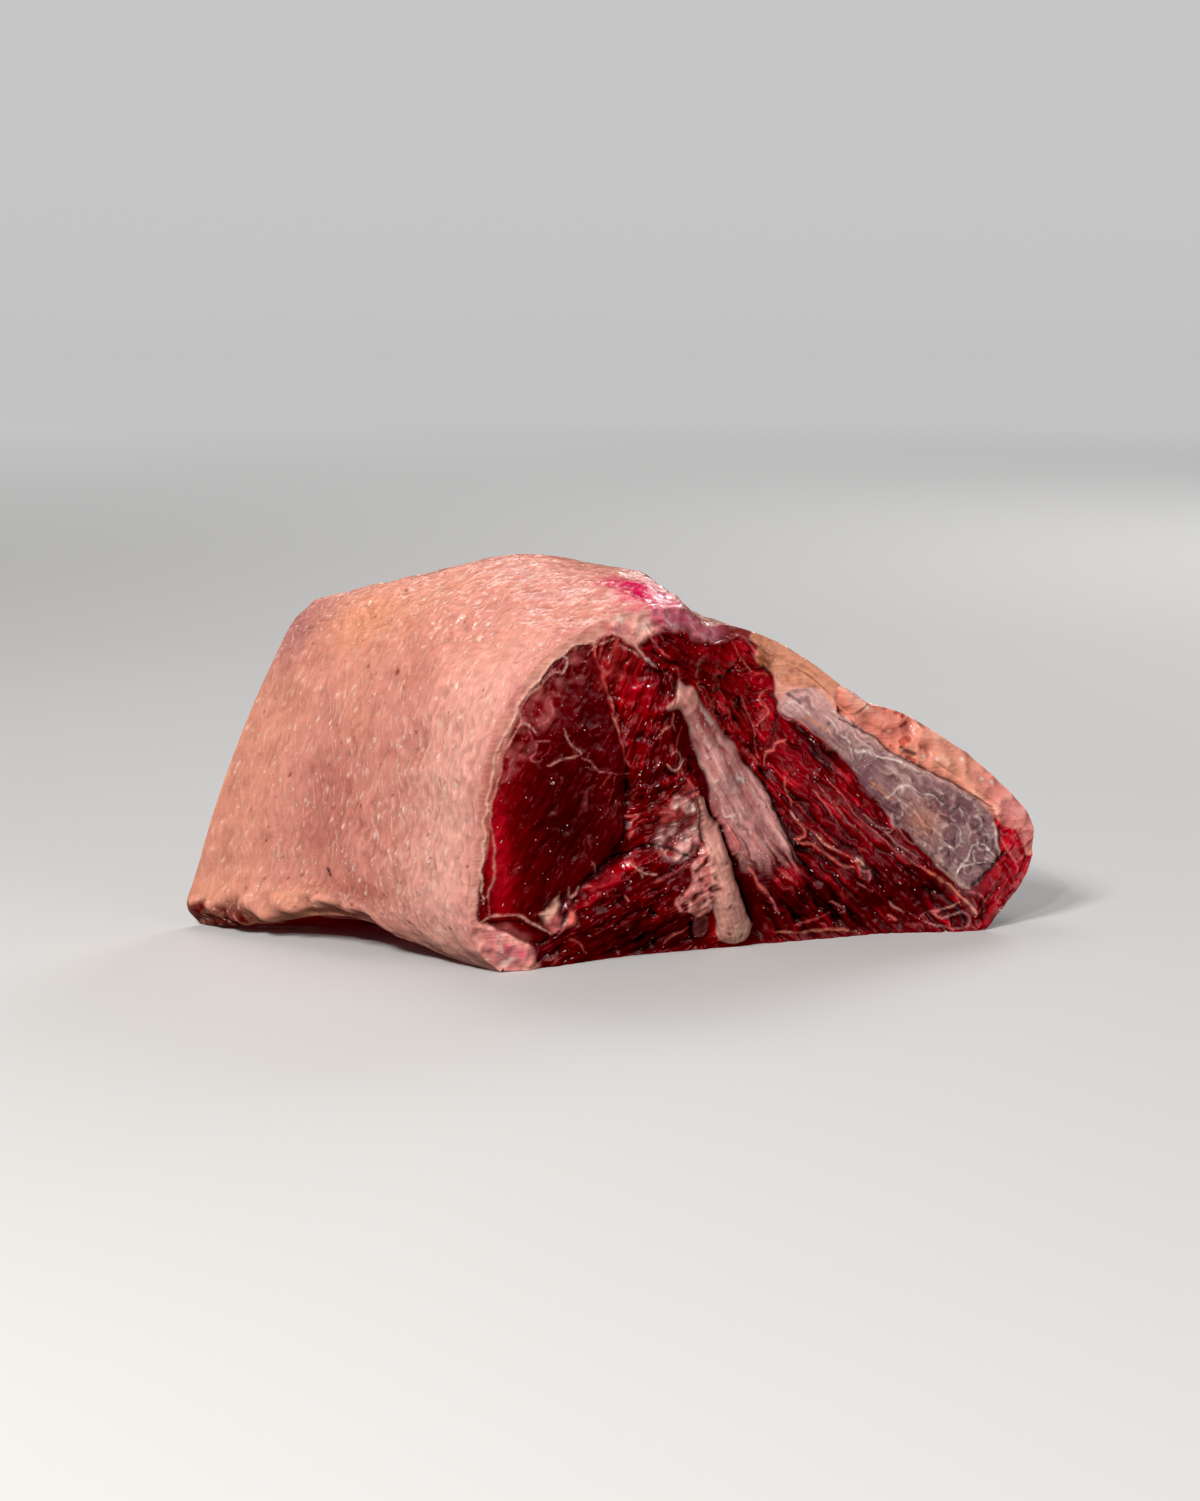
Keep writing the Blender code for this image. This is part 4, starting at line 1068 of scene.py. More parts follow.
def paint_fat_edges(cut):
    """The fat on the cut: the cap's own rim, the wedge at its foot, the flaps and lumps of the ridge."""
    rim = cut.stroke([(-7, 26), (-6.6, 40), (-5.2, 58), (-2.4, 76), (2, 88), (9.6, 101), (17.6, 110.6),
                      (27, 118), (36, 121)],
                     0.9, 0.8, 0.9, 1.4, 0.6)
    cut.lay(CREAM, rim * 0.8)
    cut.height += 0.4 * rim
    wedge = cut.patch([(-16, 10), (-13, 20), (-8, 19), (-2, 17), (4, 13.4), (9, 10.6), (12, 8), (13.4, 3),
                       (16, -2), (-4, -2)],
                      2.4, 1.4)
    cut.lay(colour(236, 150, 136), wedge)
    cut.lay(PINK_FAT, wedge * smoothstep(cut.mottle(6, 256, 2), -0.1, 0.5) * 0.7)
    cut.lay(WHITE, wedge * cut.threads(-30, 3.2, 12, 0.25, 258) * 0.6)
    cut.lay(PINK_FAT, wedge * ellipse(cut, (5, 6), (8, 4), 10))
    bruises = ellipse(cut, (8.5, 7), (1.6, 1.0), 20) + ellipse(cut, (2, 9), (3, 0.8), -20)
    cut.lay(MAGENTA, 0.55 * wedge * bruises)
    flecks = ellipse(cut, (-0.4, 9), (0.8, 2.6), 10) + ellipse(cut, (2.6, 3.6), (3, 0.9), 20)
    cut.lay(WHITE, 0.6 * wedge * flecks)
    cut.height += wedge * (0.6 + 0.8 * cut.mottle(6, 253, 2))
    pocket = cut.patch([(-4, 18.6), (2, 19.4), (8, 18.8), (12, 16), (15.6, 12.6), (14, 8.6), (10, 10.4),
                        (4, 13.6)], 0.7, 0.4)
    cut.lay(DARK_RED, pocket * 0.9)
    cut.lay(SINEW_PINK, pocket * ellipse(cut, (4, 15.4), (7, 1.4), -22) * 0.6)
    cut.height -= 0.9 * pocket
    tendon = cut.patch([(15.4, 20.4), (19, 22), (23.4, 26), (22.4, 20), (24.6, 18), (27, 20.6),
                        (29.6, 18.6), (25, 15), (22, 12.4), (18.6, 14.6), (17.6, 18)], 2.4, 1.4)
    cut.lay(SINEW_PINK, tendon * (0.7 + 0.4 * cut.fibres(50, 1.4, 10, 274)))
    cut.lay(CREAM, tendon * smoothstep(cut.y - 0.9 * (cut.x - 16), 14, 17) * 0.8)
    cut.lay(CORAL, tendon * smoothstep(cut.x, 25, 27))
    cut.height += tendon * 1.1
    crown = cut.patch([(40, 124), (49, 121), (53, 119), (57, 121), (63, 124), (75, 121), (84, 118),
                       (88, 130), (60, 140), (40, 132)],
                      3.5, 1.6)
    cut.lay(RIM_FAT, crown * 0.8)
    cut.lay(PINK_FAT, crown * smoothstep(cut.mottle(7, 260, 2), -0.2, 0.5) * 0.75)
    cut.lay(RED_FAT, crown * smoothstep(cut.mottle(9, 262, 2), 0.1, 0.6) * 0.5)
    cut.lay(WHITE, crown * cut.threads(-50, 3, 14, 0.2, 266) * 0.6)
    cut.height += crown * 0.6 * cut.mottle(6, 268, 2)
    pink = cut.patch([(58, 127), (66, 123.4), (76, 120.6), (86, 116), (98, 114), (110, 113), (113, 116),
                      (98, 120), (86, 123), (70, 130), (60, 132)], 3.0, 1.6)
    cut.lay(colour(158, 22, 32), pink * 0.9)
    flesh = pink * smoothstep(101 - cut.x, 0, 10)
    cut.lay(WET_PINK, flesh)
    cut.lay(WHITE, flesh * smoothstep(cut.fibres(-30, 1.6, 10, 276), 0.2, 0.8) * 0.6)
    streaks = smoothstep(cut.fibres(-22, 1.6, 9, 255), 0.35, 0.8)
    cut.lay(MAGENTA, pink * streaks * smoothstep(90 - cut.x, 0, 10) * 0.7)
    cut.lay(CORAL, pink * smoothstep(cut.fibres(-22, 1.8, 14, 257), 0.2, 0.8) * 0.5)
    cut.height += pink * 0.4
    beige = cut.patch([(114, 103), (113, 107), (118, 110), (130, 104), (142, 95), (140, 91.6),
                       (131, 93.6), (124, 95), (120, 99)],
                      1.0, 0.9)
    cut.lay(BEIGE_FAT, beige * (0.75 + 0.3 * cut.mottle(2.5, 259)))
    cut.lay(TAN, beige * smoothstep(cut.mottle(3.5, 261), 0.25, 0.7) * 0.5)
    # Painted shade: the crease in the beige fat is sunk and darkened with tan.
    crease_shade = cut.stroke([(116, 109), (123, 105.5), (131, 101.5), (139, 97)], 2.2, 1.6, 1.0, 0.8, 0.4)
    cut.lay(TAN, crease_shade * 0.6)
    cut.height -= 0.5 * crease_shade
    lip = cut.patch([(112, 114), (122, 113), (140, 101), (158, 90), (150, 82), (140, 93.4), (131, 100),
                     (122, 105.6), (116, 108.6)],
                    0.7, 0.6)
    cut.lay(colour(226, 148, 116), lip)
    cut.height += lip * 0.7
    deep = cut.depth_in(RIDGE_FAT, 1.2)
    ridge = smoothstep(deep, -0.4, 0.8)
    lumps = cut.mottle(13, 263, 2)
    folds = 1 - smoothstep(np.abs(cut.fibres(35, 8, 13, 264, 1.5)), 0.0, 0.22)
    cut.lay(colour(244, 156, 130), ridge)
    cut.lay(CORAL, ridge * smoothstep(184 - cut.x, 0, 16) * 0.4)
    cut.lay(PINK_FAT, ridge * smoothstep(cut.x, 198, 212) * 0.6)
    # Painted highlight: the lumps' raised tops are paler, and their low parts redder.
    cut.lay(CREAM, ridge * smoothstep(lumps, 0.1, 0.7) * 0.45)
    cut.lay(RED_FAT, ridge * 0.4 * smoothstep(-lumps, 0.1, 0.7))
    crumbs = smoothstep(cut.mottle(5, 269, 2), 0.1, 0.5)
    crumbs = crumbs * smoothstep(186 - cut.x, 0, 10) * smoothstep(cut.x, 160, 168)
    cut.lay(RED_FAT, ridge * crumbs * 0.7)
    # Painted highlights: small white glints on the lumps.
    cut.lay(WHITE, ridge * cut.specks(4.4, 0.7, 0.35, 265, -30, 1.6) * 0.7)
    cut.height += ridge * (2.3 * lumps - 0.15 * folds + 0.35 * cut.mottle(5, 267, 1) - 0.5 * crumbs)
    cut.wet += 0.2 * ridge


def paint_near_cut(cut):
    """The near cut: fat below everything, then muscles, the tissues on them, gaps with their painted shade,
    strands and glints.
    """
    cut.lay(colour(244, 164, 144), np.full(len(cut.x), 0.75))
    cut.lay(PINK_FAT, smoothstep(cut.mottle(12, 251), 0.0, 0.8) * 0.5)
    # Painted highlight: pale wet streaks over the fat of the cut.
    cut.lay(WET_HIGHLIGHT, smoothstep(cut.fibres(75, 1.5, 8, 252), 0.3, 0.9) * 0.35)
    cut.height += 0.25 * cut.mottle(5, 254)
    cut.lay(MAROON, cut.patch(LEAN_OUTLINE, 1.5, 0.6))
    paint_muscles(cut)
    for middle, half, heading, tint, strength in BLOOMS_AND_SHADE:
        cut.lay(tint, strength * ellipse(cut, middle, half, heading))
    film = cut.patch([(-3, 70), (0, 84), (5, 94), (12, 103), (20, 111), (30, 116), (33, 110), (26, 104),
                      (21, 96), (16, 88), (11, 80), (4, 72)], 5.0, 2.5)
    cut.lay(SINEW_PINK, film * smoothstep(cut.mottle(7, 271, 2), -0.2, 0.6) * 0.5)
    cut.lay(THREAD, film * (cut.threads(20, 5, 9, 0.14, 273) + cut.threads(95, 5, 9, 0.14, 275)) * 0.6)
    paint_fat_edges(cut)
    paint_froth(cut)
    paint_sinew(cut)
    paint_gristle(cut)
    paint_silverskin(cut)
    # Painted shade: each gap is darkened in a wide soft halo and, more strongly, along its sunk line.
    for line, width, end_width, depth in GAPS:
        shade_halo = cut.stroke(line, 4 * width, 4 * end_width, 0.95, 0.7, 0.4)
        gap = cut.stroke(line, width, end_width, 0.9, 0.6, 0.5)
        cut.lay(BLACK_RED, 0.35 * shade_halo)
        cut.lay(BLACK_RED, 0.7 * gap)
        cut.height -= depth * (0.5 * gap + 0.45 * shade_halo)
        cut.wet -= 0.5 * gap
        cut.glint *= 1 - shade_halo
    for line, width, end_width, tint, height in STRANDS:
        fine = width < 1.3
        haze = cut.stroke(line, 1.3 * width, 1.3 * end_width, 1.0, 0.8, 0.5)
        strand = cut.stroke(line, 0.46 * width, 0.46 * end_width, 0.9, 0.8, 0.65 if fine else 0.45)
        cut.lay(0.4 * tint + 0.6 * THREAD, 0.22 * haze)
        cut.lay(0.6 * tint + 0.4 * THREAD, strand * (0.65 if fine else 0.8))
        cut.height += 0.8 * height * strand
        cut.glint += 0.5 * strand
    # Painted shade: the cut is darkened along its foot, next to the table.
    foot_shade = smoothstep(2.6 - cut.y, 0, 2.4) * smoothstep(cut.x, 12, 18)
    cut.lay(DARK_RED, foot_shade * 0.55)
    cut.wet = np.clip(cut.wet, 0, 1)


# The far cut. The photograph doesn't show it; its muscles follow the near one's, smaller.

def far_place(points):
    """Where a place of the near cut lies on the far one, which is narrower and leans in."""
    x, y = np.array(points, float).T
    return np.column_stack([12 + 0.8 * x + 0.17 * y, 0.96 * y])


def paint_far_cut(cut):
    """The far cut's lean: fibres all over, then the muscles, then seams of fat and sinew."""
    tone = 0.4 + 0.5 * cut.fibres(-58, 3.4, 50, 381) + 0.4 * cut.mottle(16, 383, 2)
    cut.lay(MAROON + (RED - MAROON) * np.clip(tone, 0, 1)[:, None], np.ones(len(cut.x)))
    cut.lay(BLACK_RED, smoothstep(-tone, -0.1, 0.5) * 0.7)
    cut.height += 0.3 * tone
    paint_muscles(cut, far_place, 300, 2.2)
    for line, width, end_width, tint in (
            ([(44, 122), (42, 106), (47, 86), (50, 70), (48, 54)], 1.6, 0.8, CREAM),
            ([(66, 106), (78, 92), (92, 72), (104, 50), (112, 26), (114, 8)], 3.2, 8.0, SINEW_PALE),
            ([(4, 20), (22, 24), (40, 38), (60, 44), (84, 42)], 1.2, 2.2, PINK_FAT),
            ([(112, 98), (122, 88), (140, 74), (160, 54), (182, 30), (196, 10)], 2.5, 4.0, SILVER),
            ([(60, 118), (86, 112), (108, 104)], 1.0, 1.4, CORAL),
            ([(128, 62), (146, 44), (166, 24)], 0.8, 1.0, THREAD),
            ([(20, 70), (28, 60), (34, 48)], 0.7, 0.5, THREAD),
            ([(14, 84), (22, 92), (34, 96)], 0.8, 0.5, CREAM)):
        seam = cut.stroke(far_place(line), 1.2 + width, 1 + end_width, 1.0, 2.4, 0.6)
        cut.lay(0.5 * tint + 0.5 * THREAD, seam * (0.42 + 0.25 * cut.mottle(6, 391, 2)))
        cut.height += 0.2 * seam
    cut.wet = np.clip(cut.wet, 0, 1)


def paint_far_fat(cut):
    """The fat cap's edge on the far cut."""
    cut.lay(PINK_FAT, smoothstep(cut.mottle(10, 393, 2), 0.0, 0.7) * 0.5)
    cut.lay(WHITE, cut.threads(20, 3, 12, 0.2, 395) * 0.4)
    cut.lay(RED_FAT, smoothstep(cut.mottle(7, 397, 2), 0.25, 0.7) * 0.5)
    cut.height += 0.3 * cut.mottle(6, 399, 2)


# The fat cap's outside. Places are (distance round from the low edge, distance swept).

# Spots of blood and pores on the fat: (share of the sweep, station round the section, size).
SPOTS = [
    (0.46, 4.88, 1.5), (0.564, 3.09, 1.1), (0.754, 3.4, 0.9), (0.626, 2.02, 1.1), (0.67, 6.14, 1.1),
    (0.689, 5.6, 0.9), (0.666, 5.18, 0.8), (0.593, 4.86, 0.9), (0.605, 5.54, 0.8), (0.59, 6.0, 0.7),
    (0.525, 6.53, 0.9), (0.187, 2.99, 0.9), (0.183, 2.18, 0.9), (0.257, 2.27, 0.7), (0.072, 1.61, 1.1),
    (0.229, 1.43, 1.0), (0.417, 1.45, 1.3), (0.544, 1.63, 0.9), (0.714, 2.29, 0.8), (0.789, 2.5, 0.7),
    (0.757, 1.86, 0.8), (0.668, 1.91, 0.8), (0.07, 5.43, 0.7), (0.117, 4.95, 0.8), (0.16, 4.0, 0.7),
    (0.306, 4.2, 0.8), (0.411, 4.7, 0.7), (0.293, 4.0, 0.7), (0.45, 3.17, 0.8), (0.638, 3.03, 0.7),
    (0.63, 3.4, 0.7), (0.78, 3.1, 0.6), (0.896, 3.6, 0.6), (0.94, 4.14, 0.6), (0.45, 2.27, 0.8),
    (0.38, 2.13, 0.8), (0.487, 2.8, 0.6), (0.16, 2.7, 0.6), (0.02, 2.7, 0.8), (0.86, 2.9, 0.7),
    (0.3, 6.4, 0.7), (0.4, 6.3, 0.7),
]


def paint_skin(skin, at, sweep, reach_of):
    """The fat cap's outside, from its low edge over the crown and down the tail."""
    def zone(middle, half, strength=1.0):
        """Cover round a (share of the sweep, station) place."""
        return strength * np.exp(-(((sweep - middle[0] + 0.02 * skin.sway_x) / half[0]) ** 2)
                                 - (((at - middle[1] + 0.12 * skin.sway_y) / half[1]) ** 2))

    broad = skin.mottle(34, 401)
    skin.lay(SKIN_PINK, np.ones_like(at))
    skin.lay(SKIN_DEEP, smoothstep(broad, 0.1, 1.0) * 0.35)
    skin.lay(SKIN_PEACH, smoothstep(-broad, 0.1, 1.0) * 0.5)
    skin.lay(SKIN_PEACH, smoothstep(sweep, 0.68, 0.9) * 0.55)
    # The valley down the side is painted darker in these three zones: a reddish-brown tone with painted
    # shade.
    skin.lay(SKIN_DEEP, zone((0.58, 3.0), (0.10, 1.0), 0.55))
    skin.lay(SKIN_DEEP, zone((0.40, 1.95), (0.16, 0.32), 0.7))
    skin.lay(SKIN_DEEP, zone((0.28, 2.6), (0.22, 0.9), 0.25))
    skin.lay(colour(246, 178, 162), (1 - smoothstep(sweep, 0.05, 0.4)) * smoothstep(6.4 - at, 0, 1.5) * 0.85)
    skin.lay(SKIN_ROSE, (1 - smoothstep(sweep, 0.0, 0.08)) * 0.4)
    skin.lay(SKIN_GREY, zone((0.97, 5.6), (0.12, 1.0), 0.75))
    skin.lay(SKIN_PEACH, zone((0.62, 5.7), (0.2, 0.8), 0.8))
    skin.lay(colour(240, 158, 110), zone((0.72, 5.5), (0.08, 0.5), 0.45))
    skin.lay(SKIN_PEACH * 1.08, zone((0.90, 1.6), (0.09, 0.35), 0.9))
    skin.lay(SKIN_PEACH * 1.08, zone((0.62, 1.3), (0.15, 0.55), 0.9))
    skin.lay(BEIGE_FAT, zone((0.6, 0.2), (0.22, 0.45), 0.8))
    rolls = smoothstep(1.25 - at + 0.2 * skin.sway_x, 0, 0.35) * smoothstep(sweep, 0.74, 0.8)
    skin.lay(colour(108, 26, 24), rolls * (0.95 + 0.3 * skin.mottle(8, 403, 2)))
    skin.lay(BEIGE_FAT, rolls * smoothstep(skin.mottle(6, 405), 0.2, 0.8) * 0.6)
    trimmed = smoothstep(at + 0.2 * skin.sway_x, 6.9, 7.3) * smoothstep(8.6 - at, 0, 0.4)
    trimmed = trimmed * smoothstep(0.3 - sweep, 0, 0.12)
    raw = skin.fibres(62, 1.8, 9, 407)
    skin.lay(PINK_FAT, trimmed * 0.85)
    skin.lay(CREAM, trimmed * smoothstep(raw, 0.3, 0.9) * 0.7)
    skin.height += trimmed * 0.8 * skin.mottle(8, 404, 2)
    bare = smoothstep(at + 0.2 * skin.sway_x, 7.7, 8.0) * smoothstep(9.2 - at, 0, 0.3)
    bare = bare * smoothstep(0.05 - sweep, 0, 0.02)
    skin.lay(RED, bare * (0.75 + 0.3 * skin.mottle(5, 402, 2)))
    skin.lay(CORAL, bare * smoothstep(raw, 0.2, 0.8) * 0.5)
    slant = smoothstep(at + 0.2 * skin.sway_x, 4.4, 6.0)
    pores = skin.fibres(-10, 1.3, 10, 409, 0.7) * (1 - slant) + skin.fibres(-44, 1.2, 6, 410) * slant
    # Painted highlight: the pores' raised ridges are paler; their low parts are darker.
    skin.lay(WET_HIGHLIGHT, smoothstep(pores, 0.35, 1.0) * 0.2)
    skin.lay(SKIN_DEEP, smoothstep(-pores, 0.2, 0.9) * 0.2)
    skin.lay(SKIN_DEEP, smoothstep(skin.mottle(9, 412, 2), 0.2, 0.8) * 0.25)
    # Painted highlights: a wet strip and short near-white dashes and streaks stand for glints off the wet
    # fat; the strip also makes the fat wetter and glossier.
    wet_highlight_strip = zone((0.165, 3.3), (0.035, 1.1)) + 0.7 * zone((0.62, 4.2), (0.05, 0.3))
    wet_highlight_strip = np.clip(wet_highlight_strip + 0.5 * zone((0.3, 3.3), (0.14, 1.2)), 0, 1)
    highlight_dashes = skin.specks(3.0, 0.5, 0.3, 413, -10, 2.2) * (1 - slant)
    highlight_dashes = highlight_dashes + skin.specks(2.6, 0.5, 0.4, 414, -44, 1.6) * slant
    skin.lay(WET_HIGHLIGHT, highlight_dashes * (0.6 + 0.4 * wet_highlight_strip))
    streaks = smoothstep(skin.fibres(-6, 1.3, 9, 411), 0.35, 0.8)
    skin.lay(WET_HIGHLIGHT, wet_highlight_strip * streaks * 0.9)
    raw_cover = trimmed * smoothstep(skin.mottle(9, 408, 2), -0.7, -0.1)
    raw_cover = raw_cover * np.clip(zone((0.13, 7.45), (0.1, 0.4)) * 3, 0, 1)
    skin.lay(MAGENTA, raw_cover)
    skin.lay(RIM_FAT, raw_cover * smoothstep(raw, 0.35, 0.8) * 0.7)
    flesh = trimmed * smoothstep(at, 7.4, 7.6) * smoothstep(0.12 - sweep, 0, 0.04)
    skin.lay(WET_PINK, flesh * (1 - bare) * 0.8)
    skin.lay(BLOOD_SPOT, skin.specks(9.0, 0.5, 0.3, 415) * 0.7)
    for share, station, size in SPOTS:
        away = np.hypot(skin.x - reach_of(station), (skin.y - share * SWEEP_LENGTH) * 1.2)
        spot = np.exp(-(away / (0.8 * size)) ** 2)
        skin.lay(BLOOD_SPOT, spot * 0.95)
        skin.height -= 0.15 * spot
    fleck = skin.stroke([(reach_of(2.24), 0.54 * SWEEP_LENGTH), (reach_of(2.19), 0.525 * SWEEP_LENGTH),
                         (reach_of(2.11), 0.518 * SWEEP_LENGTH)], 1.3, 1.0, 0.6, 0.2)
    skin.lay(colour(34, 26, 34), fleck)
    upright = smoothstep(at, 0.8, 1.6) * smoothstep(5.6 - at, 0, 1)
    wrinkles = (1 - 2 * np.abs(skin.fibres(-6, 5.5, 24, 417, 2.2))) * upright * (1.3 - sweep)
    swirls = 1 - 2 * np.abs(skin.fibres(-48, 4.5, 14, 418, 3.0))
    swirls = swirls * smoothstep(at, 4.6, 5.6) * smoothstep(8 - at, 0, 1)
    skin.height += (0.45 * wrinkles + 0.4 * swirls + 0.15 * pores + 1.3 * skin.mottle(26, 419, 2)
                    + 0.35 * skin.mottle(7, 421, 2) + 0.2 * highlight_dashes)
    low_rolls = smoothstep(1.7 - at, 0, 0.6) * smoothstep(sweep, 0.2, 0.45)
    rolls_relief = skin.mottle(16, 429, 2)
    skin.height += low_rolls * 3.4 * rolls_relief
    # Painted shade: the low parts of the rolls along the low edge are darkened.
    skin.lay(SKIN_DEEP, low_rolls * (1 - rolls) * smoothstep(-rolls_relief, 0.1, 0.7) * 0.6)
    skin.glint[:] = 0.4 + 0.4 * skin.mottle(14, 427) + np.clip(wet_highlight_strip, 0, 1)
    tail = smoothstep(at, 9.5, 10.5)
    first, _ = cells(skin.x / 9, skin.y / 13, 423)
    skin.height += tail * (0.12 * smoothstep(0.7 - first, 0, 0.6) + 0.3 * skin.mottle(5, 424, 2))
    frayed = at + 0.35 * skin.sway_x + 0.3 * skin.mottle(7, 420, 2)
    ragged = smoothstep(frayed, FAT_END - 0.55, FAT_END - 0.15)
    skin.lay(RED_FAT, ragged * 0.6)
    skin.lay(DARK_RED, ragged * smoothstep(skin.mottle(4, 422, 2), 0.0, 0.5) * 0.7)
    skin.heading[:] = 20
    skin.wet[:] = np.clip(0.5 + 0.3 * skin.mottle(12, 425) + 0.5 * np.clip(wet_highlight_strip, 0, 1), 0, 1)


# The lean's own side: the nose at the tail's end, and the base.

def paint_lean_side(side, at):
    """Red nose and darker base, with seams of fat that run along them."""
    base = smoothstep(at, NOSE_FOOT - 0.2, NOSE_FOOT + 0.3)
    fibres = side.fibres(75, 4.2, 40, 431)
    blotches = side.mottle(13, 433)
    tone = np.clip(0.4 + 0.35 * fibres + 0.35 * blotches, 0, 1.2)
    side.lay(DARK_RED + (RED - DARK_RED) * tone[:, None], np.ones_like(at))
    side.lay(BRIGHT_RED, (1 - base) * smoothstep(blotches, 0.2, 0.8) * 0.5)
    grain = side.fibres(82, 9, 60, 435)
    seams = smoothstep(grain, 0.42, 0.6) * smoothstep(0.75 - grain, 0, 0.15)
    side.lay(CREAM, seams * 0.5)
    side.lay(PINK_FAT, smoothstep(side.mottle(18, 437, 2), 0.3, 0.7) * 0.55)
    side.lay(BLACK_RED, smoothstep(-blotches, 0.1, 0.8) * 0.6)
    edge = 1 - smoothstep(at - FAT_END + 0.25 * side.mottle(9, 441, 2), 0.0, 0.3)
    side.lay(SKIN_PINK, edge * 0.85)
    side.height += (1 - base) * (0.45 * fibres + 0.8 * side.mottle(9, 439))
    side.heading[:] = 75
    side.wet[:] = 0.6


# Pieces

def cut_sheet(rim, zones, sweep, painter, near):
    """A cut face: its points, painted with painted shade in its hollows, and carried to the near or the far
    end.
    """
    points, faces = triangles(rim, fill(rim, zones))
    canvas = Canvas(points, RIM_FAT)
    painter(canvas)
    # Painted shade: points that lie under their surroundings are darkened, raised ones lightened.
    canvas.shade(np.clip(1 - 0.75 * hollows(canvas.height, faces, 14), 0.45, 1.5))
    if near:
        depth = face_depth(*points.T) + face_relief(*points.T) - canvas.height
    else:
        depth = canvas.height
    return to_world(points, np.full(len(points), sweep), depth), faces, canvas, depth[:len(rim)]


def side_sheet(loop, zones, side_step, painter, near, far):
    """The side between the cuts. It takes up the cuts' own relief at its two rims."""
    points, faces = loop.tube(zones, side_step)
    reach, swept = points.T
    at, inset = loop.read(reach)
    canvas = Canvas(points, RIM_FAT)
    painter(canvas, at, swept)
    # Painted shade: points of the side that lie under their surroundings are darkened, raised ones lightened.
    canvas.shade(np.clip(1 - 0.45 * hollows(canvas.height, faces, 10), 0.6, 1.25))
    edge = smoothstep(swept, 0, 4) * (1 - smoothstep(swept, SWEEP_LENGTH - 4, SWEEP_LENGTH))
    sweep = swept / SWEEP_LENGTH
    places = skin_places(at, sweep, inset - canvas.height * edge)
    flat = face_depth(*skin_places(at, np.zeros_like(at), inset).T)
    start = np.interp(reach, loop.reach, np.append(near[3], near[3][0]))
    end = np.interp(reach, loop.reach, np.append(far[3], far[3][0]))
    depth = flat * (1 - sweep) + (start - flat) * (1 - smoothstep(swept, 0, 12)) * (swept < 12)
    depth += end * smoothstep(swept, SWEEP_LENGTH - 12, SWEEP_LENGTH)
    spots = to_world(places, sweep, depth)
    # The rim takes the cuts' own points, and its two ends meet.
    count, rows = len(loop.reach), loop.rows
    spots[:count] = np.vstack([near[0][:count - 1], near[0][:1]])
    spots[count + rows:2 * count + rows] = np.vstack([far[0][:count - 1], far[0][:1]])[::-1]
    spots[2 * count + rows:2 * count + 2 * rows] = spots[count:count + rows][::-1]
    return spots, faces, canvas


def is_fine(along, up):
    """The part of the near cut with sinew, gristle and silverskin, which has finer detail."""
    band = (along > 56) & (along < 126) & (up < 108)
    silverskin = (along > 116) & (up > 102 - 0.42 * along) & (up > 20)
    return band | silverskin


def build_fat_cap(finish):
    """The fat cap: its edge on both cuts, its outside, and the side that lies on the lean."""
    stations = even_stations(0, FAT_END, RIM_STEP)
    edge = np.linspace(0, 1, 7)[1:-1]
    low, high = FAT_THICKNESS[0], FAT_THICKNESS[-1]
    at = np.concatenate([stations, np.full(5, FAT_END), stations[::-1], np.zeros(5), [0]])
    inset = np.concatenate([0 * stations, edge * high, thickness(stations[::-1]), low * (1 - edge), [0]])
    loop = Loop(at, inset)
    outer = loop.reach[len(stations) - 1]
    fine = np.interp(8.5, at[:len(stations)], loop.reach[:len(stations)])
    near = cut_sheet(loop.near, [(0.55, lambda x, y: x == x)], 0.0, paint_near_cut, True)
    far = cut_sheet(loop.far, [(FAR_CUT_STEP, lambda x, y: x == x)], 1.0, paint_far_fat, False)
    zones = [
        (SKIN_STEP, lambda x, y: x < fine),
        (TAIL_SKIN_STEP, lambda x, y: (x >= fine) & (x < outer + high)),
        (HIDDEN_STEP, lambda x, y: x >= outer + high),
    ]

    def reach_of(station):
        return np.interp(station, stations, loop.reach[:len(stations)])

    def painter(canvas, at, swept):
        paint_skin(canvas, at, swept / SWEEP_LENGTH, reach_of)
        canvas.height += lump_height(at, swept / SWEEP_LENGTH)
        canvas.height *= smoothstep(canvas.x, 0, 2.5) * (1 - smoothstep(canvas.x, outer - 4, outer))

    side = side_sheet(loop, zones, SKIN_STEP * 1.3, painter, near, far)
    return joined("fat_cap_skin", [near[:3], side, far[:3]], finish)


def build_lean(finish):
    """The lean: both cuts, its own side at the nose and the base, and the part under the fat."""
    under = even_stations(0, FAT_END, RIM_STEP)
    open_part = even_stations(FAT_END, ROUND - 0.06, RIM_STEP)
    edge = np.linspace(1, 0, 7)[1:-1]
    turn = np.linspace(0, 1, 8)[1:]
    at = np.concatenate([under, np.full(5, FAT_END), open_part, ROUND - 0.06 * (1 - turn)])
    inset = np.concatenate([
        thickness(under), edge * FAT_THICKNESS[-1], 0 * open_part, turn * FAT_THICKNESS[0]])
    loop = Loop(at, inset)
    covered, width = loop.reach[len(under) - 1], loop.reach[-1]
    near_zones = [(CUT_STEP, lambda x, y: ~is_fine(x, y)), (CUT_FINE_STEP, is_fine)]
    near = cut_sheet(loop.near, near_zones, 0.0, paint_near_cut, True)
    far = cut_sheet(loop.far, [(FAR_CUT_STEP, lambda x, y: x == x)], 1.0, paint_far_cut, False)
    zones = [
        (HIDDEN_STEP, lambda x, y: x < covered - 3),
        (LEAN_SIDE_STEP, lambda x, y: x >= covered - 3),
    ]

    def painter(canvas, at, swept):
        paint_lean_side(canvas, at)
        canvas.height *= smoothstep(canvas.x, covered + 3, covered + 10)
        canvas.height *= smoothstep(width - canvas.x, 0.5, 6)

    side = side_sheet(loop, zones, 1.5, painter, near, far)
    return joined("lean_meat", [near[:3], side, far[:3]], finish)


# Stage

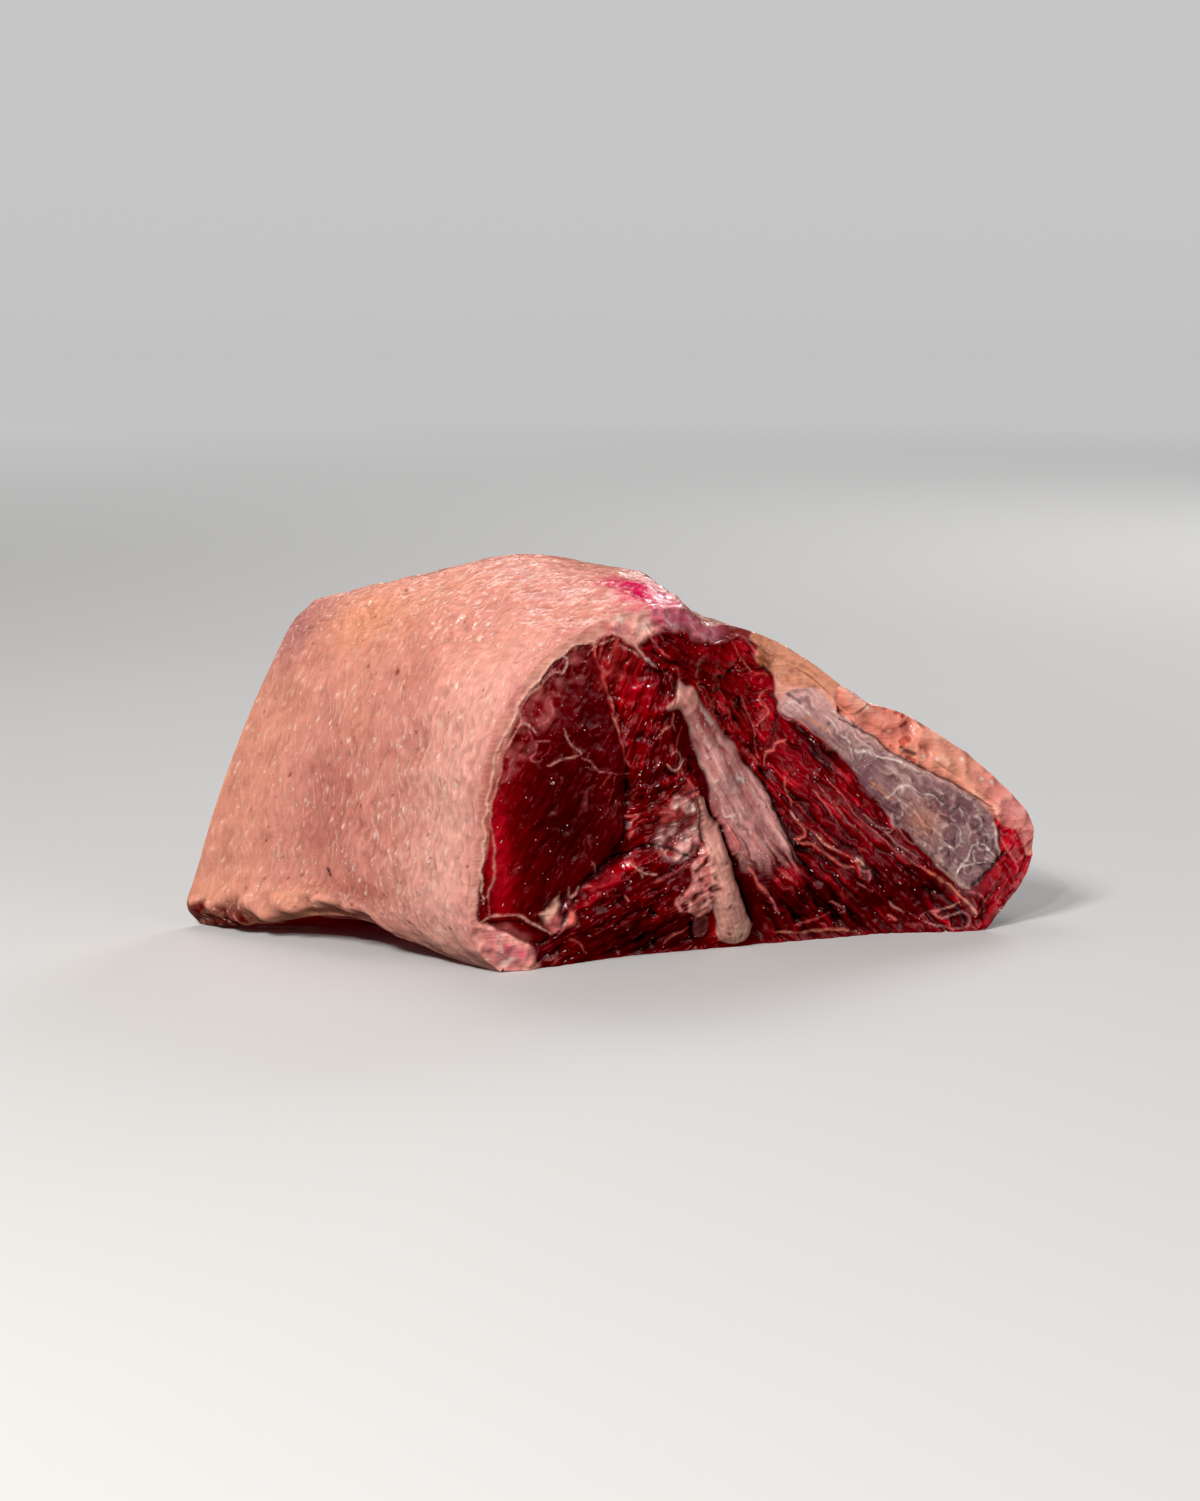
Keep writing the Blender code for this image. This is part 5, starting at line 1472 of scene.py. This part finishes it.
def build_stage():
    """A plain pale floor that runs up into a wall all round."""
    flat, bend, rise, sides = 4.0, 1.5, 1.0, 64
    turns = np.linspace(0, math.pi / 2, 13)
    profile = [(reach, 0.0) for reach in np.linspace(0.4, 3.6, 9)]
    profile += [(flat + bend * math.sin(t), bend - bend * math.cos(t)) for t in turns]
    profile.append((flat + bend, bend + rise))
    corners = [(0.0, 0.0, 0.0)]
    for reach, height in profile:
        corners += [(reach * math.cos(t), reach * math.sin(t), height)
                    for t in np.arange(sides) * 2 * math.pi / sides]
    faces = [(0, 1 + k, 1 + (k + 1) % sides) for k in range(sides)]
    for ring in range(len(profile) - 1):
        start = 1 + ring * sides
        faces += [(start + k, start + sides + k, start + sides + (k + 1) % sides, start + (k + 1) % sides)
                  for k in range(sides)]
    mesh = bpy.data.meshes.new("floor")
    mesh.from_pydata(corners, [], faces)
    mesh.shade_smooth()
    # The wall is far from the lights, so it glows a little to stay as pale as the floor.
    layer = mesh.attributes.new("glow", "FLOAT", "POINT")
    layer.data.foreach_set("value", smoothstep(np.hypot(*np.array(corners)[:, :2].T), 0.3, 2.6))
    made = Finish("pale_floor")
    glow = made.node("ShaderNodeAttribute", {"attribute_name": "glow"}, {}, "Fac")
    made.set(made.shader, {
        "Base Color": (0.66, 0.65, 0.64, 1),
        "Roughness": 0.7,
        "Emission Color": glow,
        "Emission Strength": 0.42,
    })
    mesh.materials.append(made.material)
    floor = bpy.data.objects.new("floor", mesh)
    bpy.context.scene.collection.objects.link(floor)
    floor.visible_glossy = False
    floor.visible_diffuse = False


def area_light(name, place, aim, size, power, tint=(1, 1, 1)):
    """A soft light at a place, turned to what it lights."""
    data = bpy.data.lights.new(name, "AREA")
    data.shape = "RECTANGLE"
    data.size, data.size_y = size
    data.energy = power
    data.color = tint
    made = bpy.data.objects.new(name, data)
    made.location = place
    made.rotation_euler = (Vector(aim) - Vector(place)).to_track_quat("-Z", "Y").to_euler()
    bpy.context.scene.collection.objects.link(made)


def build_camera_and_light():
    """The photograph's view, and soft studio light from the upper left."""
    scene = bpy.context.scene
    lens = bpy.data.cameras.new("camera")
    lens.sensor_width = 36.0
    lens.lens = 36.0 * 3200 / 1501
    camera = bpy.data.objects.new("camera", lens)
    camera.location = (-0.0042, -1.1999, 0.2923)
    camera.rotation_euler = (math.radians(90 - 10.5), 0, 0)
    scene.collection.objects.link(camera)
    scene.camera = camera
    middle = (0, 0, 0.06)
    area_light("key", (-0.62, -0.80, 1.0), middle, (0.32, 0.32), 13, (1.0, 0.98, 0.95))
    area_light("glint", (-0.35, -1.15, 0.9), middle, (0.06, 0.06), 4, (1.0, 0.98, 0.95))
    area_light("top", (-0.25, 0.55, 0.9), middle, (0.5, 0.3), 2)
    area_light("back", (0.7, 1.3, 0.9), middle, (0.6, 0.6), 7)
    area_light("fill", (0.9, -0.8, 0.5), middle, (0.7, 0.7), 2.4, (0.95, 0.97, 1.0))
    world = bpy.data.worlds.new("studio")
    world.use_nodes = True
    world.node_tree.nodes["Background"].inputs["Color"].default_value = (1, 1, 1, 1)
    world.node_tree.nodes["Background"].inputs["Strength"].default_value = 0.2
    scene.world = world
    world.cycles_visibility.glossy = False
    scene.view_settings.view_transform = "Standard"
    scene.view_settings.use_curve_mapping = True
    scene.view_settings.curve_mapping.black_level = (0.004, 0.004, 0.004)
    scene.view_settings.curve_mapping.update()


build_camera_and_light()
build_stage()
# The last tint of each finish is that of its painted highlight streaks.
lean = build_lean(meat_finish(
    "wet_lean", 0.22, 0.2, 0.5, 0.06, (1.6, 0.3, 0.25), 0.35, (0.8, 14), 0.9, (0.36, 0.05, 0.06, 1)))
fat_cap = build_fat_cap(meat_finish(
    "moist_fat", 0.22, 0.42, 0.5, 0.15, (2.6, 1.2, 0.9), 0.55, (1.3, 7), 0.22, (0.9, 0.55, 0.45, 1)))
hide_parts("lean")
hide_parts("fat_cap")
for piece, slot in ((lean, "lean"), (fat_cap, "fat")):
    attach(piece, "root")
